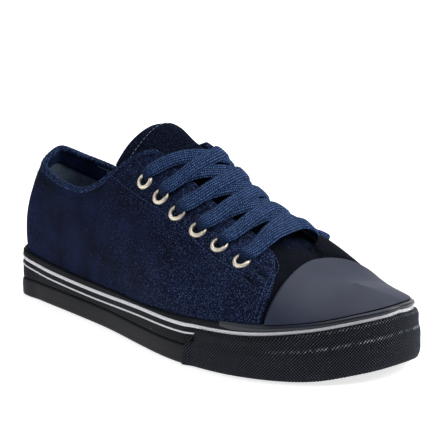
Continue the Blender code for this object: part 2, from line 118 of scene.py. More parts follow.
def ramp(value, start, end):
    # 0 before start, 1 after end, smooth between
    t = np.clip((np.asarray(value, dtype=float) - start) / (end - start), 0.0, 1.0)
    return t * t * (3.0 - 2.0 * t)


def window(value, start, top, fall, end):
    # Rises from start to top and falls from fall to end
    return ramp(value, start, top) * (1.0 - ramp(value, fall, end))


def bump(value, centre, width):
    # Bell curve of height 1
    return np.exp(-(((value - centre) / width) ** 2))


def sideOf(share):
    return np.where(share < 0, -1.0, 1.0)


def signedPower(value, power):
    return np.sign(value) * np.abs(value) ** power


def roundSection(count, outPower, risePower, phase=0.0):
    # Outward and upward shares, -1 to 1, round a strip: a circle squared off by the powers
    turns = np.linspace(0.0, 2 * np.pi, count, endpoint=False) + phase
    return [(signedPower(np.cos(turn), outPower), signedPower(np.sin(turn), risePower)) for turn in turns]


def pathRun(points):
    # Distance along a line of points
    return np.concatenate([[0.0], np.cumsum(np.linalg.norm(np.diff(points, axis=0), axis=1))])


def sampleRows(at, run, values):
    # Every column of values read at distances along a line
    return np.stack([np.interp(at, run, values[:, i]) for i in range(values.shape[1])], axis=1)


def quarterRound(distance, radius):
    # Quarter circle: 0 at an edge, 1 from radius on
    return np.sqrt(1.0 - (1.0 - np.clip(distance / radius, 0.0, 1.0)) ** 2)


def packed(count, strength):
    # 0 to 1 with the samples drawn together at both ends
    t = np.linspace(0.0, 1.0, count)
    return t - strength * np.sin(2 * np.pi * t) / (2 * np.pi)


def outline(u, side, inset):
    # The sole's edge: x follows a cosine of u, y the centre line and half width; the outer side bulges
    half = section("half", u)
    half = half + lastSizes["bulge"] * (side < 0) * bump(u, lastSizes["bulgeAt"], lastSizes["bulgeReach"])
    narrowed = np.maximum(half - inset * np.minimum(1.0, half / 15.0), 0.0)
    return -(lastSizes["length"] / 2 - inset) * np.cos(np.pi * u), section("centre", u) + side * narrowed


def seenLean(u):
    # The foxing's lean, standing straighter at the heel and the toe
    heel = lastSizes["heelUpright"] * (1.0 - ramp(u, *lastSizes["heelRange"]))
    toe = lastSizes["toeUpright"] * ramp(u, *lastSizes["toeRange"])
    return section("lean", u) * (1.0 - heel - toe)


def soleLow(u):
    # The sole's lower edge: the last's spring, a little less towards the toe
    drop = lastSizes["toeDrop"] * ramp(u, *lastSizes["dropRange"])
    return np.maximum(section("spring", u) - drop, 0.0)


def soleTop(u):
    return lastSizes["soleHeight"] + lastSizes["springShare"] * section("spring", u)


def footInset(u):
    return section("lean", u) + lastSizes["foxingWall"] + lastSizes["gap"]


def lastPoint(u, v, side, grow=0.0):
    # A superellipse quadrant from the foxing's edge (v 0) up to the ridge (v 1)
    u, v, side, grow = np.broadcast_arrays(*(np.asarray(a, dtype=float) for a in (u, v, side, grow)))
    x0, y0 = outline(u, side, footInset(u) - grow)
    z0 = section("foxingTop", u)
    angle = np.clip(v, 0.0, 1.0) * np.pi / 2
    inward = 1.0 - np.cos(angle) ** (2.0 / section("crown", u))
    inward = inward - section("swell", u) * np.sin(np.pi * np.minimum(v / 0.5, 1.0))
    upward = np.sin(angle) ** (2.0 / section("fullness", u))
    x = x0 + (section("ridgeX", u) - x0) * inward
    y = y0 + (section("ridgeY", u) - y0) * inward
    z = z0 + (section("ridgeZ", u) + grow - z0) * upward
    return np.stack([x, y, z], axis=-1)


def acrossPoint(u, c, grow=0.0):
    # c is -1 at the outer foxing, 0 on the ridge, +1 at the inner foxing
    c = np.asarray(c, dtype=float)
    return lastPoint(u, 1.0 - np.abs(c), sideOf(c), grow)


def unit(vectors):
    return vectors / np.maximum(np.linalg.norm(vectors, axis=-1, keepdims=True), 1e-9)


def acrossNormal(u, c):
    # Outward normal from small steps along and across
    u, c = np.asarray(u, dtype=float), np.asarray(c, dtype=float)
    along = acrossPoint(u + 0.004, c) - acrossPoint(u - 0.004, c)
    sideways = acrossPoint(u, c + 0.01) - acrossPoint(u, c - 0.01)
    return unit(np.cross(along, sideways))


def smoothWave(points, seed, size):
    # Sum of a few slow sine waves over the points, -1 to 1
    rng = np.random.default_rng(seed)
    total = np.zeros(points.shape[:-1])
    for _ in range(5):
        direction = rng.normal(size=3)
        direction /= np.linalg.norm(direction)
        length = size * rng.uniform(0.7, 1.4)
        total += np.sin(points @ direction * 2 * np.pi / length + rng.uniform(0, 6.28))
    return total / 5


# Mesh making

def gridQuads(rows, columns, closeColumns=False, closeRows=False):
    r = np.arange(rows if closeRows else rows - 1)[:, None]
    c = np.arange(columns if closeColumns else columns - 1)[None, :]
    row, nextRow = r * columns, (r + 1) % rows * columns
    nextColumn = (c + 1) % columns
    corners = (row + c, row + nextColumn, nextRow + nextColumn, nextRow + c)
    return np.stack(np.broadcast_arrays(*corners), axis=-1).reshape(-1, 4)


def addMesh(name, points, faces, material, slotName, nodes=(), uv=None, attributes=None, weld=0.01,
            fill=False):
    # A piece from points in millimetres: doubles welded, faces turned outwards, set on the root body
    mesh = bpy.data.meshes.new(name)
    mesh.from_pydata((points.reshape(-1, 3) * 0.001).tolist(), [], faces.tolist())
    if uv is not None:
        layer = mesh.uv_layers.new(name="UVMap")
        layer.data.foreach_set("uv", uv.reshape(-1, 2)[faces.ravel()].ravel().astype(np.float32))
    for key, values in (attributes or {}).items():
        attribute = mesh.attributes.new(key, "FLOAT", "POINT")
        attribute.data.foreach_set("value", np.asarray(values, dtype=np.float32).ravel())
    shape = bmesh.new()
    shape.from_mesh(mesh)
    bmesh.ops.remove_doubles(shape, verts=shape.verts, dist=weld * 0.001)
    bmesh.ops.dissolve_degenerate(shape, dist=0.0000005, edges=shape.edges)
    if fill:
        bmesh.ops.holes_fill(shape, edges=[edge for edge in shape.edges if edge.is_boundary])
    bmesh.ops.recalc_face_normals(shape, faces=shape.faces)
    shape.to_mesh(mesh)
    shape.free()
    mesh.shade_smooth()
    mesh.materials.append(material)
    piece = bpy.data.objects.new(name, mesh)
    bpy.context.scene.collection.objects.link(piece)
    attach(piece, "root")
    if nodes:
        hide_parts(*nodes)
    return piece


def addGrid(name, grid, closeColumns, closeRows, *rest, **options):
    faces = gridQuads(*grid.shape[:2], closeColumns, closeRows)
    return addMesh(name, grid, faces, *rest, **options)


def edgeDistance(points, edges):
    # Distance of every grid point from the named open edges, measured along the grid
    rowSteps = np.linalg.norm(np.diff(points, axis=0), axis=-1)
    columnSteps = np.linalg.norm(np.diff(points, axis=1), axis=-1)
    fromStart = np.concatenate([np.zeros((1, points.shape[1])), np.cumsum(rowSteps, axis=0)])
    fromLeft = np.concatenate([np.zeros((points.shape[0], 1)), np.cumsum(columnSteps, axis=1)], axis=1)
    table = {"start": fromStart, "end": fromStart[-1] - fromStart, "left": fromLeft,
             "right": fromLeft[:, -1:] - fromLeft}
    return np.min([table[edge] for edge in edges], axis=0)


def roundedSheet(name, surface, middle, half, radius, edges, material, slotName, nodes=(), extra=0.0,
                 attributes=None):
    # A sheet of thickness 2 half about the surface, its named edges rounded over radius by a quarter
    # circle; extra raises the outer face away from the edges
    distance = edgeDistance(surface(middle), edges)
    t = half * quarterRound(distance, radius)
    outer = surface(middle + t + extra * np.clip(distance / (2 * radius), 0.0, 1.0))
    inner = surface(middle - t)
    rows, columns = outer.shape[:2]
    quads = gridQuads(rows, columns)
    border = np.concatenate([quads, quads[:, ::-1] + rows * columns])
    points = np.concatenate([outer.reshape(-1, 3), inner.reshape(-1, 3)])
    both = {key: np.concatenate([np.ravel(v), np.ravel(v)]) for key, v in (attributes or {}).items()}
    return addMesh(name, points, border, material, slotName, nodes, attributes=both)


def thereAndBack(values):
    return np.concatenate([values, values[-2:0:-1]])


def edgePoints(u, side, inset, z):
    return np.stack([*outline(u, side, inset), z], axis=-1)


def loopPoints(u, inset, height):
    # Closed loop: outer side from heel to toe, inner side back
    side = np.concatenate([-np.ones(len(u)), np.ones(len(u) - 2)])
    inset, height = (thereAndBack(np.broadcast_to(a, u.shape)) for a in (inset, height))
    return edgePoints(thereAndBack(u), side, inset, height)


def lidLoops(loop, u, shares):
    # Copies of a loop drawn in towards the sole's centre line
    centre = section("centre", thereAndBack(u))
    loops = [loop.copy() for _ in shares]
    for lid, share in zip(loops, shares):
        lid[:, 1] = centre + (loop[:, 1] - centre) * share
    return loops


def addStrip(name, u, side, sections, material):
    # A section of (inset, z) rows swept along part of the outline
    grid = np.stack([edgePoints(u, side, inset, z) for inset, z in sections])
    return addGrid(name, grid, False, True, material, "foxing_rubber")


# Materials

def linear(hexColor):
    # Hex sRGB to linear RGBA
    channels = np.array([int(hexColor[i:i + 2], 16) / 255 for i in (1, 3, 5)])
    low = channels / 12.92
    high = ((channels + 0.055) / 1.055) ** 2.4
    return (*np.where(channels <= 0.04045, low, high), 1.0)


def addNode(tree, kind, settings=None, links=None):
    node = tree.nodes.new(kind)
    for key, value in (settings or {}).items():
        if isinstance(key, int) or key in node.inputs:
            node.inputs[key].default_value = value
        else:
            setattr(node, key, value)
    for key, source in (links or {}).items():
        tree.links.new(source, node.inputs[key])
    return node


def newMaterial(name, roughness, specular, constants=None):
    material = bpy.data.materials.new(name)
    material.use_nodes = True
    shader = material.node_tree.nodes["Principled BSDF"]
    settings = {"Roughness": roughness, "Specular IOR Level": specular, "IOR": 1.5, **(constants or {})}
    for key, value in settings.items():
        shader.inputs[key].default_value = value
    return material, material.node_tree, shader


def colorRamp(tree, source, stops):
    node = addNode(tree, "ShaderNodeValToRGB", {}, {"Fac": source})
    elements = node.color_ramp.elements
    while len(elements) < len(stops):
        elements.new(0.5)
    for element, (position, color) in zip(elements, stops):
        element.position = position
        element.color = linear(color)
    return node.outputs["Color"]


def level(tree, source, low, high, start=0.0, end=1.0):
    limits = {"From Min": low, "From Max": high, "To Min": start, "To Max": end}
    return addNode(tree, "ShaderNodeMapRange", limits, {"Value": source}).outputs["Result"]


def noiseOf(tree, coordinates, sizeMm, detail=2.0, roughness=0.5):
    settings = {"Scale": 1000.0 / sizeMm, "Detail": detail, "Roughness": roughness}
    return addNode(tree, "ShaderNodeTexNoise", settings, {"Vector": coordinates}).outputs["Fac"]


def mathOf(tree, operation, first, second=0.0):
    links = {}
    settings = {"operation": operation}
    for index, value in enumerate((first, second)):
        if isinstance(value, (int, float)):
            settings[index] = float(value)
        else:
            links[index] = value
    return addNode(tree, "ShaderNodeMath", settings, links).outputs["Value"]


def times(tree, first, second):
    return mathOf(tree, "MULTIPLY", first, second)


def waveOf(tree, value, turns):
    return mathOf(tree, "SINE", times(tree, value, turns))


def attributeOf(tree, name):
    return addNode(tree, "ShaderNodeAttribute", {"attribute_name": name}).outputs["Fac"]


def splitOf(tree, coordinates):
    return addNode(tree, "ShaderNodeSeparateXYZ", {}, {"Vector": coordinates}).outputs


def mixColors(tree, factor, first, second):
    node = tree.nodes.new("ShaderNodeMix")
    node.data_type = "RGBA"
    for socket, value in ((0, factor), (6, first), (7, second)):
        if isinstance(value, (int, float)):
            node.inputs[socket].default_value = value
        elif isinstance(value, str):
            node.inputs[socket].default_value = linear(value)
        else:
            tree.links.new(value, node.inputs[socket])
    return node.outputs[2]


def addBump(tree, shader, height, distanceMm, strength):
    settings = {"Strength": strength, "Distance": distanceMm * 0.001}
    node = addNode(tree, "ShaderNodeBump", settings, {"Height": height})
    tree.links.new(node.outputs["Normal"], shader.inputs["Normal"])


def objectCoordinates(tree):
    return tree.nodes.new("ShaderNodeTexCoord").outputs["Object"]


def addColorAndBump(tree, shader, color, height, distanceMm, strength):
    tree.links.new(color, shader.inputs["Base Color"])
    addBump(tree, shader, height, distanceMm, strength)


# The part of a slow noise over which two colours mix
patchRange = (0.3, 0.7)


def patchy(tree, place, sizeMm, detail, first, second):
    # Two colours mixed by a slow noise
    return mixColors(tree, level(tree, noiseOf(tree, place, sizeMm, detail), *patchRange), first, second)


# One turn of a wave a millimetre long, per metre
millimetreTurns = 6283.0

# Velvet: dark and mid navy by slow noise, with fine bright and dark fibre specks whose strength
# follows the piece's sparkle attribute; a short pile as fine bump, and sheen at grazing angles.
velvetLook = {"grainMm": 0.7, "fineShare": 0.6, "patchMm": 16.0, "sheen": 0.03, "sheenRoughness": 0.45,
              "sheenTint": "#6a7cab", "roughness": 0.9, "specular": 0.06, "speckRange": (0.52, 0.66),
              "grainRange": (0.48, 0.60), "pitRange": (0.52, 0.40), "pitShare": 0.9, "pileMm": 0.25}


def velvetMaterial(name, dark, mid, speck, pit):
    material, tree, shader = newMaterial(name, velvetLook["roughness"], velvetLook["specular"], {
        "Sheen Weight": velvetLook["sheen"], "Sheen Roughness": velvetLook["sheenRoughness"],
        "Sheen Tint": linear(velvetLook["sheenTint"])})
    place, sparkle = objectCoordinates(tree), attributeOf(tree, "sparkle")
    grain = noiseOf(tree, place, velvetLook["grainMm"], 3.0, 0.7)
    fine = noiseOf(tree, place, velvetLook["grainMm"] * velvetLook["fineShare"], 1.0, 0.6)
    bright = level(tree, fine, *velvetLook["speckRange"])
    bright = times(tree, bright, level(tree, grain, *velvetLook["grainRange"]))
    bright = times(tree, bright, sparkle)
    shade = times(tree, sparkle, velvetLook["pitShare"])
    shade = times(tree, level(tree, grain, *velvetLook["pitRange"]), shade)
    base = patchy(tree, place, velvetLook["patchMm"], 3.0, dark, mid)
    color = mixColors(tree, bright, mixColors(tree, shade, base, pit), speck)
    addColorAndBump(tree, shader, color, grain, velvetLook["pileMm"], 0.6)
    return material


# Moulded rubber: one colour varied slowly, with faint dust where a noise is high, a fine bump, and
# a glossy coat on the polished lip.
rubberLook = {"ior": 1.52, "coatRoughness": 0.16, "patchMm": 22.0, "dustMm": 0.8, "dustRange": (0.66, 0.74),
              "dustAreaMm": 18.0, "areaRange": (0.45, 0.65)}


def rubberMaterial(name, color, second, dust, dustAmount, roughness, specular, grainMm, bumpMm, coat=0.0):
    material, tree, shader = newMaterial(name, roughness, specular, {
        "IOR": rubberLook["ior"], "Coat Weight": coat, "Coat Roughness": rubberLook["coatRoughness"]})
    place = objectCoordinates(tree)
    specks = level(tree, noiseOf(tree, place, rubberLook["dustMm"], 2.0, 0.7), *rubberLook["dustRange"])
    area = noiseOf(tree, place, rubberLook["dustAreaMm"], 2.0)
    area = level(tree, area, *rubberLook["areaRange"], 0.0, dustAmount)
    base = patchy(tree, place, rubberLook["patchMm"], 3.0, color, second)
    base = mixColors(tree, times(tree, specks, area), base, dust)
    addColorAndBump(tree, shader, base, noiseOf(tree, place, grainMm, 2.0), bumpMm, 0.5)
    return material


# Printed stripe on the foxing: pale grey with fine slanting hatch lines from a sine of the place,
# worn through by noise.
printLook = {"roughness": 0.6, "specular": 0.3, "acrossShare": 0.7, "wearMm": 1.4, "wearRange": (0.35, 0.6),
             "hatchDepthMm": 0.06}


def stripeMaterial(name, color, hatch, hatchMm, amount):
    material, tree, shader = newMaterial(name, printLook["roughness"], printLook["specular"])
    place = objectCoordinates(tree)
    split = splitOf(tree, place)
    slanting = mathOf(tree, "ADD", split["X"], split["Z"])
    slanting = mathOf(tree, "ADD", slanting, times(tree, split["Y"], printLook["acrossShare"]))
    lines = waveOf(tree, slanting, millimetreTurns / hatchMm)
    wear = noiseOf(tree, place, printLook["wearMm"], 3.0, 0.7)
    wear = level(tree, wear, *printLook["wearRange"], 0.0, amount)
    color = mixColors(tree, times(tree, level(tree, lines, 0.0, 1.0), wear), color, hatch)
    addColorAndBump(tree, shader, color, lines, printLook["hatchDepthMm"], 0.4)
    return material


# Woven lace: light and dark blue slanting stitches that turn at every lengthwise rib, from a sine of
# the length plus a folded width, with painted shade in the valleys between the ribs and more painted
# shade where the shown attribute falls, in the eyelets. The UV is in millimetres.
weaveLook = {"stitchMm": 1.25, "slant": 0.7, "stitchShare": 0.38, "fleckMm": 0.7,
             "fleckRange": (0.35, 0.65, 0.05, 0.62), "valleyRange": (0.1, 0.75), "valleyDark": 0.12,
             "holeRange": (0.15, 0.95, 0.15, 1.0), "depthMm": 0.15}


def laceMaterial(name, light, mid, dark, ribMm):
    material, tree, shader = newMaterial(name, 0.85, 0.08, {"Sheen Weight": 0.04, "Sheen Roughness": 0.5})
    split = splitOf(tree, tree.nodes.new("ShaderNodeTexCoord").outputs["UV"])
    folded = mathOf(tree, "PINGPONG", mathOf(tree, "ADD", split["X"], ribMm / 2), ribMm)
    slanting = mathOf(tree, "ADD", split["Y"], times(tree, folded, weaveLook["slant"]))
    knit = waveOf(tree, slanting, millimetreTurns * 0.001 / weaveLook["stitchMm"])
    fleck = noiseOf(tree, objectCoordinates(tree), weaveLook["fleckMm"], 2.0, 0.7)
    rib = mathOf(tree, "ABSOLUTE", mathOf(tree, "COSINE", times(tree, split["X"], 3.1416 / ribMm)))
    paintedValleyShade = level(tree, rib, *weaveLook["valleyRange"])
    blend = level(tree, knit, -1.0, 1.0, 0.0, weaveLook["stitchShare"])
    blend = mathOf(tree, "ADD", blend, level(tree, fleck, *weaveLook["fleckRange"]))
    # Painted shade in the valleys between the ribs
    blend = times(tree, blend, level(tree, paintedValleyShade, 0.0, 1.0, weaveLook["valleyDark"], 1.0))
    # Painted shade on the lace inside the eyelets
    blend = times(tree, blend, level(tree, attributeOf(tree, "eyeletShade"), *weaveLook["holeRange"]))
    color = colorRamp(tree, blend, ((0.1, dark), (0.5, mid), (0.92, light)))
    addColorAndBump(tree, shader, color, mathOf(tree, "ADD", knit, fleck), weaveLook["depthMm"], 0.8)
    return material


# Woven cloth for lining, insole and thread: two near colours by noise, with a fine weave from two
# crossing sine waves as bump.
clothLook = {"roughness": 0.9, "specular": 0.2, "patchMm": 9.0, "depthMm": 0.1}


def clothMaterial(name, color, second, weaveMm):
    material, tree, shader = newMaterial(name, clothLook["roughness"], clothLook["specular"])
    place = objectCoordinates(tree)
    split = splitOf(tree, place)
    warp, weft = (waveOf(tree, split[axis], millimetreTurns / weaveMm) for axis in "XZ")
    base = patchy(tree, place, clothLook["patchMm"], 4.0, color, second)
    addColorAndBump(tree, shader, base, times(tree, warp, weft), clothLook["depthMm"], 0.6)
    return material


# Pale gold eyelet metal, satin, with a faint waviness from noise as bump.
metalLook = {"specular": 0.5, "waveMm": 2.5, "depthMm": 0.04}


def metalMaterial(name, color, roughness, metallic):
    looks = {"Metallic": metallic, "Base Color": linear(color)}
    material, tree, shader = newMaterial(name, roughness, metalLook["specular"], looks)
    waves = noiseOf(tree, objectCoordinates(tree), metalLook["waveMm"], 1.0)
    addBump(tree, shader, waves, metalLook["depthMm"], 0.5)
    return material


# Knurled rubber: by the piece's raised attribute, black in the valleys as painted shade and grey on the
# peaks as painted light; dusty on the peaks where a noise is high, and pale where its crest attribute
# says that light catches it, a painted highlight.
knurlLook = {"peakRange": (0.3, 0.75), "dustMm": 1.2, "dustRange": (0.54, 0.66), "dustPeaks": (0.5, 0.9),
             "areaMm": 16.0, "areaRange": (0.4, 0.65, 0.0, 0.5), "crestPeaks": (0.35, 0.7),
             "crestMm": 2.5, "crestRange": (0.35, 0.6)}


def knurlMaterial(name, paintedValleyShade, paintedPeakLight, dust, edge, roughness, specular):
    material, tree, shader = newMaterial(name, roughness, specular, {"IOR": rubberLook["ior"]})
    place, raised = objectCoordinates(tree), attributeOf(tree, "raised")
    # Painted shade in the valleys and painted light on the peaks
    base = mixColors(tree, level(tree, raised, *knurlLook["peakRange"]), paintedValleyShade, paintedPeakLight)
    specks = level(tree, noiseOf(tree, place, knurlLook["dustMm"], 2.0, 0.7), *knurlLook["dustRange"])
    specks = times(tree, specks, level(tree, raised, *knurlLook["dustPeaks"]))
    area = level(tree, noiseOf(tree, place, knurlLook["areaMm"], 2.0), *knurlLook["areaRange"])
    base = mixColors(tree, times(tree, specks, area), base, dust)
    # Painted highlight along the bumper's crests, broken into dashes by noise
    broken = level(tree, noiseOf(tree, place, knurlLook["crestMm"], 2.0), *knurlLook["crestRange"])
    bright = times(tree, attributeOf(tree, "crestHighlight"), level(tree, raised, *knurlLook["crestPeaks"]))
    base = mixColors(tree, times(tree, bright, broken), base, edge)
    tree.links.new(base, shader.inputs["Base Color"])
    return material


velvet = velvetMaterial("navyVelvet", "#0a0f1d", "#151e3a", "#6076ae", "#04060d")
# The vamp's velvet: a darker copy of the navy velvet, as painted shade
shadedVampVelvet = velvetMaterial("vampShadeVelvet", "#07080d", "#0e1019", "#39435c", "#030405")
tongueVelvet = velvetMaterial("tongueVelvet", "#080c19", "#10172a", "#4a5880", "#03050a")
bindingVelvet = velvetMaterial("bindingVelvet", "#101a33", "#182646", "#6a84bd", "#050913")
foxingRubber = rubberMaterial("foxingRubber", "#0f1216", "#14171c", "#a9a7a3", 0.5, 0.6, 0.09, 0.9, 0.05)
lipRubber = rubberMaterial("lipRubber", "#171b26", "#1c2230", "#8c8c94", 0.12, 0.4, 0.25, 0.9, 0.03, coat=0.3)
soleRubber = rubberMaterial("soleRubber", "#1a1b20", "#212126", "#7d7a77", 0.25, 0.55, 0.12, 0.8, 0.05)
bumperRubber = knurlMaterial("bumperRubber", "#010102", "#383d48", "#8a90a2", "#b8becd", 0.5, 0.08)
capRubber = rubberMaterial("capRubber", "#242a3c", "#2a3145", "#5a6072", 0.08, 0.52, 0.28, 0.6, 0.02)
stripeRubber = stripeMaterial("stripeRubber", "#e2e1e7", "#9d9ca4", 1.1, 0.8)
thinStripeRubber = stripeMaterial("thinStripeRubber", "#e0e0e5", "#b4b4bb", 1.4, 0.3)
laceCloth = laceMaterial("laceCloth", "#6080b6", "#213a66", "#050a16", 1.55)
liningCloth = clothMaterial("liningCloth", "#475466", "#6a788c", 0.8)
insoleCloth = clothMaterial("insoleCloth", "#1a2028", "#242c36", 0.9)
eyeletMetal = metalMaterial("eyeletMetal", "#fff3dc", 0.42, 0.75)
threadCloth = clothMaterial("threadCloth", "#34446e", "#4a5c8c", 0.4)
darkThread = clothMaterial("darkThread", "#04060c", "#0a0e18", 0.4)
paleThread = clothMaterial("paleThread", "#6d7ba0", "#8b97b5", 0.4)
print("materials made")


# Outsole: bottom unit with a smooth rounded band, flat pads, hollow arch and cross grooves

soleLook = {"treadDepth": 1.2, "archFrom": 0.34, "archTo": 0.50, "archRamp": 0.04, "grooveWidth": 2.4,
            "groovesX": (-112.0, -98.0, -84.0, 4.0, 18.0, 32.0, 46.0), "bumperFrom": 0.595,
            "bumperRamp": 0.02, "bumperRecess": 2.0}
# Inset of the band by its height's share
soleWall = ((0.0, 1.3), (0.04, 0.55), (0.10, 0.15), (0.30, 0.0), (0.80, 0.0), (0.92, 0.15), (0.97, 0.4),
            (1.0, 1.0))


def bumperCover(u):
    return ramp(u, soleLook["bumperFrom"], soleLook["bumperFrom"] + soleLook["bumperRamp"])


def makeOutsole():
    # Even steps in x; the band is a stack of loops, the bottom loops drawn in from its lowest one
    u = np.arccos(1.0 - 2.0 * np.linspace(0.0, 1.0, 421)) / np.pi
    low, high = soleLow(u), soleTop(u)
    loops = [loopPoints(u, soleLook["bumperRecess"] * bumperCover(u) + readKnots(soleWall, height),
                        low + (high - low) * height) for height in np.linspace(0.0, 1.0, 17)]
    bottom = lidLoops(loops[0], u, (0.96, 0.9, 0.75, 0.5, 0.25, 0.0))
    nearest = np.min([np.abs(loops[0][:, 0] - x) for x in soleLook["groovesX"]], axis=0)
    groove = 1.0 - ramp(nearest, soleLook["grooveWidth"] / 2 - 0.2, soleLook["grooveWidth"] / 2 + 0.2)
    arch = window(u, soleLook["archFrom"], soleLook["archFrom"] + soleLook["archRamp"],
                  soleLook["archTo"] - soleLook["archRamp"], soleLook["archTo"])
    for loop in bottom[1:]:
        loop[:, 2] += np.maximum(groove, thereAndBack(arch)) * soleLook["treadDepth"]
    grid = np.stack(bottom[::-1] + loops + lidLoops(loops[-1], u, (0.0,)))
    addGrid("outsole", grid, True, False, soleRubber, "outsole_rubber", ("outsole",))


makeOutsole()
print("outsole made")


# Foxing: the rubber wall, its stripes and the rounded lip round the toe

foxingLook = {"footInset": 0.35, "grooveDepth": 0.2, "grooveUp": 0.2, "grooveReach": 0.4,
              "roundShare": 0.05, "roundDepth": 0.5}
stripeLook = {"height": 1.9, "proud": 0.22, "sunk": 0.25, "thinHeight": 1.0, "thinBelow": 4.2,
              "thinProud": 0.3, "thinSunk": 0.2}
lipLook = {"from": 0.66, "proud": 1.1, "taper": 0.25, "above": 0.4, "seat": 0.6, "behind": 2.2,
           "followFoxing": 0.8}
# Wide stripe's middle height, by u
stripeRows = ((0.0, 27.0), (0.1, 24.4), (0.2, 20.9), (0.3, 19.3), (0.4, 19.0), (0.5, 21.0), (0.6, 21.8),
              (0.7, 23.7), (0.8, 27.9), (0.9, 32.4), (1.0, 35.0))
# How far the foxing's top edge dips below the last's line, by u
dipRows = ((0.0, 0.3), (0.1, 1.2), (0.2, 2.2), (0.3, 3.2), (0.4, 3.1), (0.5, 3.1), (0.6, 1.3), (0.7, 0.4),
           (0.8, 0.0), (0.9, 0.0), (1.0, 0.0))


def foxingInset(u, height):
    # From the foot to the lean at the top with the square of height; deeper behind the bumper
    foot = foxingLook["footInset"]
    foot = foot + (soleLook["bumperRecess"] - foot) * bumperCover(u)
    return foot + (seenLean(u) - foot) * height**2


def foxingFoot(u):
    return soleTop(u) + lastSizes["gap"]


def onFoxing(u, z):
    # Inset of the foxing's outer face at a height
    share = np.clip((z - foxingFoot(u)) / (section("foxingTop", u) - foxingFoot(u)), 0.0, 1.0)
    return foxingInset(u, share)


def makeFoxing():
    u = np.linspace(0.0, 1.0, 401)
    foot, top = foxingFoot(u), section("foxingTop", u) - readKnots(dipRows, u)
    loops = []
    for height in np.linspace(0.0, 1.0, 22):
        up = (top - foot) * height
        groove = foxingLook["grooveDepth"] * bump(up, foxingLook["grooveUp"], foxingLook["grooveReach"])
        rounding = foxingLook["roundDepth"] * (1.0 - quarterRound(1.0 - height, foxingLook["roundShare"]))
        loops.append(loopPoints(u, onFoxing(u, foot + up) + groove + rounding, foot + up))
    inner = section("lean", u) + lastSizes["foxingWall"]
    loops += [loopPoints(u, inner, top), loopPoints(u, inner, foot)]
    addGrid("foxing", np.stack(loops), True, True, foxingRubber, "foxing_rubber", ("foxing",))


def makeWideStripe():
    # A squared strip lying on the foxing, all the way round
    u = np.linspace(0.0, 1.0, 381)
    reach = stripeLook["proud"] + stripeLook["sunk"]
    loops = []
    for outward, rise in roundSection(9, 0.3, 0.3, np.pi / 9):
        z = readKnots(stripeRows, u) + stripeLook["height"] / 2 * rise
        loops.append(loopPoints(u, onFoxing(u, z) + stripeLook["sunk"] - reach * outward, z))
    addGrid("wideStripe", np.stack(loops), True, True, stripeRubber, "foxing_rubber")


def makeThinStripe():
    # From one side of the bumper round the heel to the other
    share = np.linspace(-1.0, 1.0, 521)
    u = np.abs(share) * (soleLook["bumperFrom"] + soleLook["bumperRamp"])
    reach = stripeLook["thinProud"] + stripeLook["thinSunk"]
    sections = []
    for outward, rise in roundSection(8, 0.6, 0.6, np.pi / 8):
        z = readKnots(stripeRows, u) - stripeLook["thinBelow"] + stripeLook["thinHeight"] / 2 * rise
        sections.append((onFoxing(u, z) + stripeLook["thinSunk"] - reach * outward, z))
    addStrip("thinStripe", u, sideOf(share), sections, thinStripeRubber)


def makeLip():
    # Rounded rubber lip between the toe cap and the wide stripe, tapered at both ends; its lower
    # half follows the foxing in
    share = np.linspace(-1.0, 1.0, 401)
    u = 1.0 - (1.0 - lipLook["from"]) * np.abs(share)
    taper = ramp(1.0 - np.abs(share), 0.0, lipLook["taper"])
    top = section("foxingTop", u) + lipLook["above"]
    half = (top - readKnots(stripeRows, u) - stripeLook["height"] / 2) / 2
    sections = []
    for outward, rise in roundSection(20, 1.0, 0.75):
        z = top - half + half * rise
        reach = lipLook["seat"] + lipLook["proud"] * taper if outward > 0 else lipLook["behind"]
        follow = (seenLean(u) - onFoxing(u, z)) * lipLook["followFoxing"] * (rise < 0)
        sections.append((seenLean(u) + lipLook["seat"] - reach * outward - follow, z))
    addStrip("foxingLip", u, sideOf(share), sections, lipRubber)


makeFoxing()
makeWideStripe()
makeThinStripe()
makeLip()
print("foxing made")


# Toe bumper: two bulges round the toe, covered in a fine raised diamond pattern

bumperLook = {"slant": 0.030, "slantPower": 2.6, "aboveGround": 0.4, "belowStripe": 1.0, "pitchMm": 1.7,
              "knurlMm": 0.5, "crestAt": 0.65, "crestWidth": 0.024, "crestRange": (0.71, 0.84),
              "crestFade": 0.5, "fadeRange": (0.92, 1.0), "rimAt": 0.965, "rimWidth": 0.02,
              "rimShare": 0.35, "rimRange": (0.76, 0.84), "wall": 0.2, "columns": 1001, "rows": 81}
# Inset by the height's share: the two bulges with a waist between them
bumperWall = ((0.0, 0.8), (0.10, 0.15), (0.34, 0.0), (0.58, 0.15), (0.66, 0.45), (0.74, 0.6), (0.92, 0.45),
              (1.0, 0.9))


